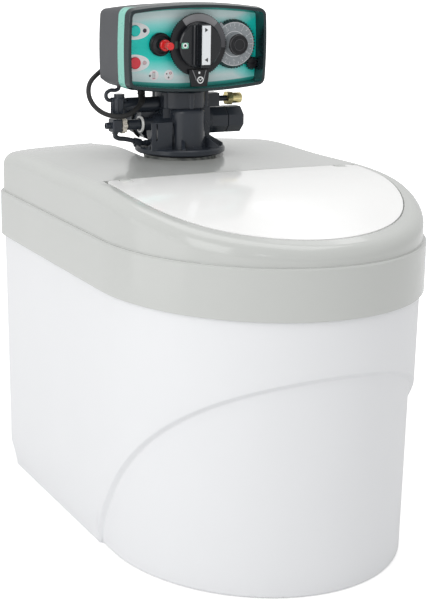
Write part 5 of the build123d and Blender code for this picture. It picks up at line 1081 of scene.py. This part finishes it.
def tick_ring_tree():
    tree = bpy.data.node_groups.new("tick_ring", "GeometryNodeTree")
    tree_sockets(tree, "INPUT", "Int", "Count")
    tree_sockets(tree, "INPUT", "Float", "Radius", "Length", "Width", "Thickness")
    tree_sockets(tree, "INPUT", "Material", "Material")
    tree_sockets(tree, "OUTPUT", "Geometry", "Geometry")
    given = add_node(tree, "NodeGroupInput")
    result = add_node(tree, "NodeGroupOutput")
    circle = add_node(tree, "GeometryNodeMeshCircle")
    feed(tree, given.outputs["Count"], circle.inputs["Vertices"])
    feed(tree, given.outputs["Radius"], circle.inputs["Radius"])
    size = add_node(tree, "ShaderNodeCombineXYZ")
    for name, axis in (("Length", "X"), ("Width", "Y"), ("Thickness", "Z")):
        feed(tree, given.outputs[name], size.inputs[axis])
    bar = add_node(tree, "GeometryNodeMeshCube")
    feed(tree, size.outputs[0], bar.inputs["Size"])
    step = math_node(tree, "DIVIDE", 2 * pi, given.outputs["Count"])
    index = add_node(tree, "GeometryNodeInputIndex")
    angle = math_node(tree, "MULTIPLY", index.outputs[0], step)
    turn = add_node(tree, "ShaderNodeCombineXYZ")
    feed(tree, angle, turn.inputs["Z"])
    copies = add_node(tree, "GeometryNodeInstanceOnPoints")
    feed(tree, circle.outputs["Mesh"], copies.inputs["Points"])
    feed(tree, bar.outputs["Mesh"], copies.inputs["Instance"])
    feed(tree, turn.outputs[0], copies.inputs["Rotation"])
    real = add_node(tree, "GeometryNodeRealizeInstances")
    feed(tree, copies.outputs[0], real.inputs[0])
    paint = add_node(tree, "GeometryNodeSetMaterial")
    feed(tree, real.outputs[0], paint.inputs["Geometry"])
    feed(tree, given.outputs["Material"], paint.inputs["Material"])
    feed(tree, paint.outputs[0], result.inputs[0])
    return tree


TICK_RING = tick_ring_tree()
print("tree", TICK_RING.name)

# %% Rings of ticks


def run_tree(tree, name, **values):
    """A plain mesh object from a node tree with these inputs."""
    holder = place_in_scene(name, bpy.data.meshes.new(name))
    modifier = holder.modifiers.new(name, "NODES")
    modifier.node_group = tree
    sockets = {item.name: item.identifier for item in tree.interface.items_tree if item.in_out == "INPUT"}
    for key, value in values.items():
        modifier[sockets[key]] = value
    return from_evaluated(holder, name)


def tick_ring(name, centre, front_y, count, radius, length, width, body, finish):
    sizes = {"Radius": radius * MM, "Length": length * MM, "Width": width * MM, "Thickness": INK * MM}
    ring = run_tree(TICK_RING, name, Count=count, Material=finishes[finish], **sizes)
    stand_up(ring, Vector((centre[0], front_y - INK / 2, centre[1])) * MM)
    return settle(ring, body, finish)


CLOCK = (46.2, 476.6)
DIAL_Y = 66.4
HUB_Y = 55.5
HUB_STEP_Y = 54.7
# The ticks are moulded relief, coloured near white as a painted highlight.
for name, count, radius, length, width in (("clock_hours", 24, 19.8, 2.6, 0.5),
                                           ("clock_quarters", 96, 21.3, 1.0, 0.25)):
    tick_ring(name, CLOCK, DIAL_Y, count, radius, length, width, "clock", "relief_painted_highlight")


def ring_mark(name, front_y, finish, outer, inner):
    outlines = [round_points(*CLOCK, radius, count=96) for radius in (outer, inner)]
    return flat_mark(name, outlines, front_y, "clock", finish)


# Painted highlight: a bright ring along the dial's outer edge and one round the hub's sleeve.
ring_mark("dial_edge_painted_highlight", DIAL_Y, "relief_painted_highlight", outer=22.4, inner=21.8)
ring_mark("dial_sleeve_painted_highlight", DIAL_Y, "relief_painted_highlight", outer=13.4, inner=12.6)
ring_mark("hub_ring", HUB_Y, "print_shade", outer=10.2, inner=9.8)
ring_mark("hub_ring_small", HUB_STEP_Y, "print_shade", outer=5.8, inner=5.5)
print("tick rings done")

# %% [markdown]
# ## Hours on the clock dial
# The clear dial ring carries plain hour numbers in moulded relief, coloured near white as a painted
# highlight. Blender's own text object draws them; each is turned to face outwards from the hub, made a mesh
# and joined, because a text object would not export.

# %% Numbers
NUMBER_RADIUS = 16.4
NUMBER_TALL = 3.4
NUMBER_STEPS = 3
HOURS_ROUND = 24
HOUR_STEP = 2


def dial_number(hour):
    data = bpy.data.curves.new("hour", "FONT")
    data.body = str(hour)
    data.size = NUMBER_TALL * MM
    data.align_x = "CENTER"
    data.align_y = "CENTER"
    data.extrude = INK / 2 * MM
    data.resolution_u = NUMBER_STEPS
    piece = from_evaluated(place_in_scene("hour", data), f"hour_{hour}")
    clock_turn = -2 * pi * hour / HOURS_ROUND
    outwards = Matrix.Rotation(clock_turn, 4, "Z") @ Matrix.Translation((0, NUMBER_RADIUS * MM, 0))
    piece.data.transform(outwards)
    return piece


def join(pieces, name):
    merged = bmesh.new()
    for piece in pieces:
        merged.from_mesh(piece.data)
        bpy.data.objects.remove(piece)
    mesh = bpy.data.meshes.new(name)
    merged.to_mesh(mesh)
    merged.free()
    return place_in_scene(name, mesh)


hours = range(HOUR_STEP, HOURS_ROUND + 1, HOUR_STEP)
numbers = join([dial_number(hour) for hour in hours], "clock_numbers")
stand_up(numbers, Vector((CLOCK[0], DIAL_Y - INK / 2, CLOCK[1])) * MM)
settle(numbers, "clock", "relief_painted_highlight")
print("numbers", len(numbers.data.vertices), "points")

# %% [markdown]
# ## Strain reliefs
# Where the cable enters the timer, a rubber sleeve with rings tapers down onto it, so that it can't
# kink at the hole. The sleeve has to bend with the cable, so it is swept along the cable's own line:
# a frame is carried from point to point, and the radius falls and ripples on the way.

# %% Sleeves on the cable
SLEEVE_LENGTH = 22.0
SLEEVE_WIDE = 4.4
SLEEVE_THIN = 2.9
SLEEVE_RIPPLE = 0.45
SLEEVE_RINGS = 6
STEPS_PER_RING = 8
SIDES = 28
ALMOST_NONE = 0.01


def along(points, reach, steps):
    """Points at even distances along a line, up to a reach."""
    targets = [reach * number / steps for number in range(steps + 1)]
    out, gone = [], 0.0
    for a, b in zip(points, points[1:]):
        run = (b - a).length
        while len(out) < len(targets) and targets[len(out)] <= gone + run:
            out.append(a.lerp(b, (targets[len(out)] - gone) / run))
        gone += run
    return out


def swept(points, radii):
    """Points of a round tube along a line."""
    places = []
    across = Vector((0, 0, 1)).cross(points[1] - points[0])
    if across.length < ALMOST_NONE:
        across = Vector((1, 0, 0))
    for number, (point, radius) in enumerate(zip(points, radii)):
        ahead = points[min(number + 1, len(points) - 1)] - points[max(number - 1, 0)]
        ahead.normalize()
        across = (across - ahead * across.dot(ahead)).normalized()
        up = ahead.cross(across)
        for share in shares(SIDES):
            angle = 2 * pi * share
            places.append(point + radius * (cos(angle) * across + sin(angle) * up))
    return places


def sleeve(name, line):
    steps = SLEEVE_RINGS * STEPS_PER_RING
    points = along(line, SLEEVE_LENGTH, steps)
    radii = []
    for number in range(len(points)):
        share = number / steps
        ripple = SLEEVE_RIPPLE * (1 + cos(2 * pi * share * SLEEVE_RINGS)) / 2 * (1 - share / 2)
        radii.append(SLEEVE_WIDE + (SLEEVE_THIN - SLEEVE_WIDE) * share - SLEEVE_RIPPLE + ripple)
    faces = ring_faces(len(points), SIDES)
    return mesh_piece(name, swept(points, radii), faces, "cabinet", "rubber_black")


sleeves = [sleeve("relief_rear", cable_line), sleeve("relief_under", cable_line[::-1])]
print("sleeves", len(sleeves))

# %% Cords get their finish, ride and hide the CAD nodes they replace
settle(cable, "cabinet", "rubber_black", ["cable_loop"])
settle(hose, "cabinet", "rubber_black", ["brine_hose"])

# %% [markdown]
# ## Floor and light
# The photograph has a pure white ground and soft light from large windows: the cabinet is bright on
# its left and front, and its gloss shows pale bands. The floor is a white plane that glows a little
# for the camera, so that it reads as white and still keeps the object's shadow. Two large soft lamps
# and a pale surrounding light the object, and three small lamps add the reflections of the lid, the
# skirt and the front edge. The gloss mirrors a dimmer room than the camera sees, dark in front and
# light behind, or the left side would be brighter than in the photograph.

# %% Floor
FLOOR_HALF = 30.0
FLOOR_TONE = 0.8
FLOOR_ROUGHNESS = 0.9
WHITE = (1, 1, 1, 1)
MIRRORED_GLOW = 0.1
GLOW_NEAR = 0.45
GLOW_FAR = 1.0
NEAR_FLOOR = 0.3
FAR_FLOOR = 1.0


def seen_directly(tree, ray):
    return math_node(tree, "MAXIMUM", ray.outputs["Is Camera Ray"], ray.outputs["Is Transmission Ray"])


def floor_material():
    tree, shader = start_material("floor_white")
    shader.inputs["Base Color"].default_value = (FLOOR_TONE, FLOOR_TONE, FLOOR_TONE, 1)
    shader.inputs["Roughness"].default_value = FLOOR_ROUGHNESS
    shader.inputs["Emission Color"].default_value = WHITE
    ray = add_node(tree, "ShaderNodeLightPath")
    mirrored = math_node(tree, "MULTIPLY", ray.outputs["Is Glossy Ray"], MIRRORED_GLOW)
    seen = math_node(tree, "MAXIMUM", seen_directly(tree, ray), mirrored)
    away = add_node(tree, "ShaderNodeVectorMath", operation="LENGTH")
    feed(tree, object_place(tree), away.inputs[0])
    fade = soft_step(tree, away.outputs["Value"], NEAR_FLOOR, FAR_FLOOR, GLOW_NEAR, GLOW_FAR)
    feed(tree, math_node(tree, "MULTIPLY", seen, fade), shader.inputs["Emission Strength"])


def add_floor():
    mesh = bpy.data.meshes.new("floor")
    far = FLOOR_HALF
    mesh.from_pydata([(-far, -far, 0), (far, -far, 0), (far, far, 0), (-far, far, 0)], [], [(0, 1, 2, 3)])
    floor_material()
    mesh.materials.append(finishes["floor_white"])
    floor = place_in_scene("floor", mesh)
    return floor


print(add_floor().name)

# %% World and lamps
AMBIENT = 0.76
MIRRORED_FRONT = 0.42
MIRRORED_BACK = 0.7
ROOM_FRONT = -0.5
ROOM_BACK = 0.5


def add_world():
    world = bpy.data.worlds.new("studio")
    bpy.context.scene.world = world
    world.use_nodes = True
    tree = world.node_tree
    ground = tree.nodes["Background"]
    ray = add_node(tree, "ShaderNodeLightPath")
    level = math_node(tree, "MULTIPLY_ADD", seen_directly(tree, ray), 1 - AMBIENT, AMBIENT)
    parts = add_node(tree, "ShaderNodeSeparateXYZ")
    feed(tree, add_node(tree, "ShaderNodeTexCoord").outputs["Generated"], parts.inputs[0])
    room = soft_step(tree, parts.outputs["Y"], ROOM_FRONT, ROOM_BACK, MIRRORED_FRONT - AMBIENT,
                     MIRRORED_BACK - AMBIENT)
    mirrored = math_node(tree, "MULTIPLY", ray.outputs["Is Glossy Ray"], room)
    feed(tree, math_node(tree, "ADD", level, mirrored), ground.inputs["Strength"])
    ground.inputs["Color"].default_value = WHITE


def soft_lamp(name, place, target, wide, tall, power):
    data = bpy.data.lights.new(name, "AREA")
    data.shape = "RECTANGLE"
    data.size = wide
    data.size_y = tall
    data.energy = power
    lamp = place_in_scene(name, data)
    lamp.location = place
    lamp.rotation_mode = "QUATERNION"
    lamp.rotation_quaternion = (Vector(target) - Vector(place)).to_track_quat("-Z", "Y")


add_world()
MIDDLE = (0.0, 0.0, 0.3)
LEFT_SKIRT = (-0.14, -0.15, 0.3)
LID = (0.0, -0.19, 0.34)
FRONT_EDGE = (0.0, -0.1, 0.35)
soft_lamp("window_left", (-2.1, -1.0, 1.25), MIDDLE, wide=1.1, tall=2.0, power=14.0)
soft_lamp("ceiling", (0.2, 0.4, 2.4), MIDDLE, wide=1.8, tall=1.8, power=12.0)
soft_lamp("window_low", (-1.2, 0.12, 0.3), LEFT_SKIRT, wide=0.8, tall=0.6, power=0.8)
soft_lamp("window_back", (1.25, 1.56, 1.64), LID, wide=0.32, tall=0.07, power=0.12)
soft_lamp("spot_front", (-1.26, -2.15, 1.39), FRONT_EDGE, wide=0.12, tall=0.12, power=1.2)
bpy.context.scene.view_settings.view_transform = "Standard"
print("light done")

# %% [markdown]
# ## The last update
# The view layer is updated once more at the end.

# %% The last update


bpy.context.view_layer.update()
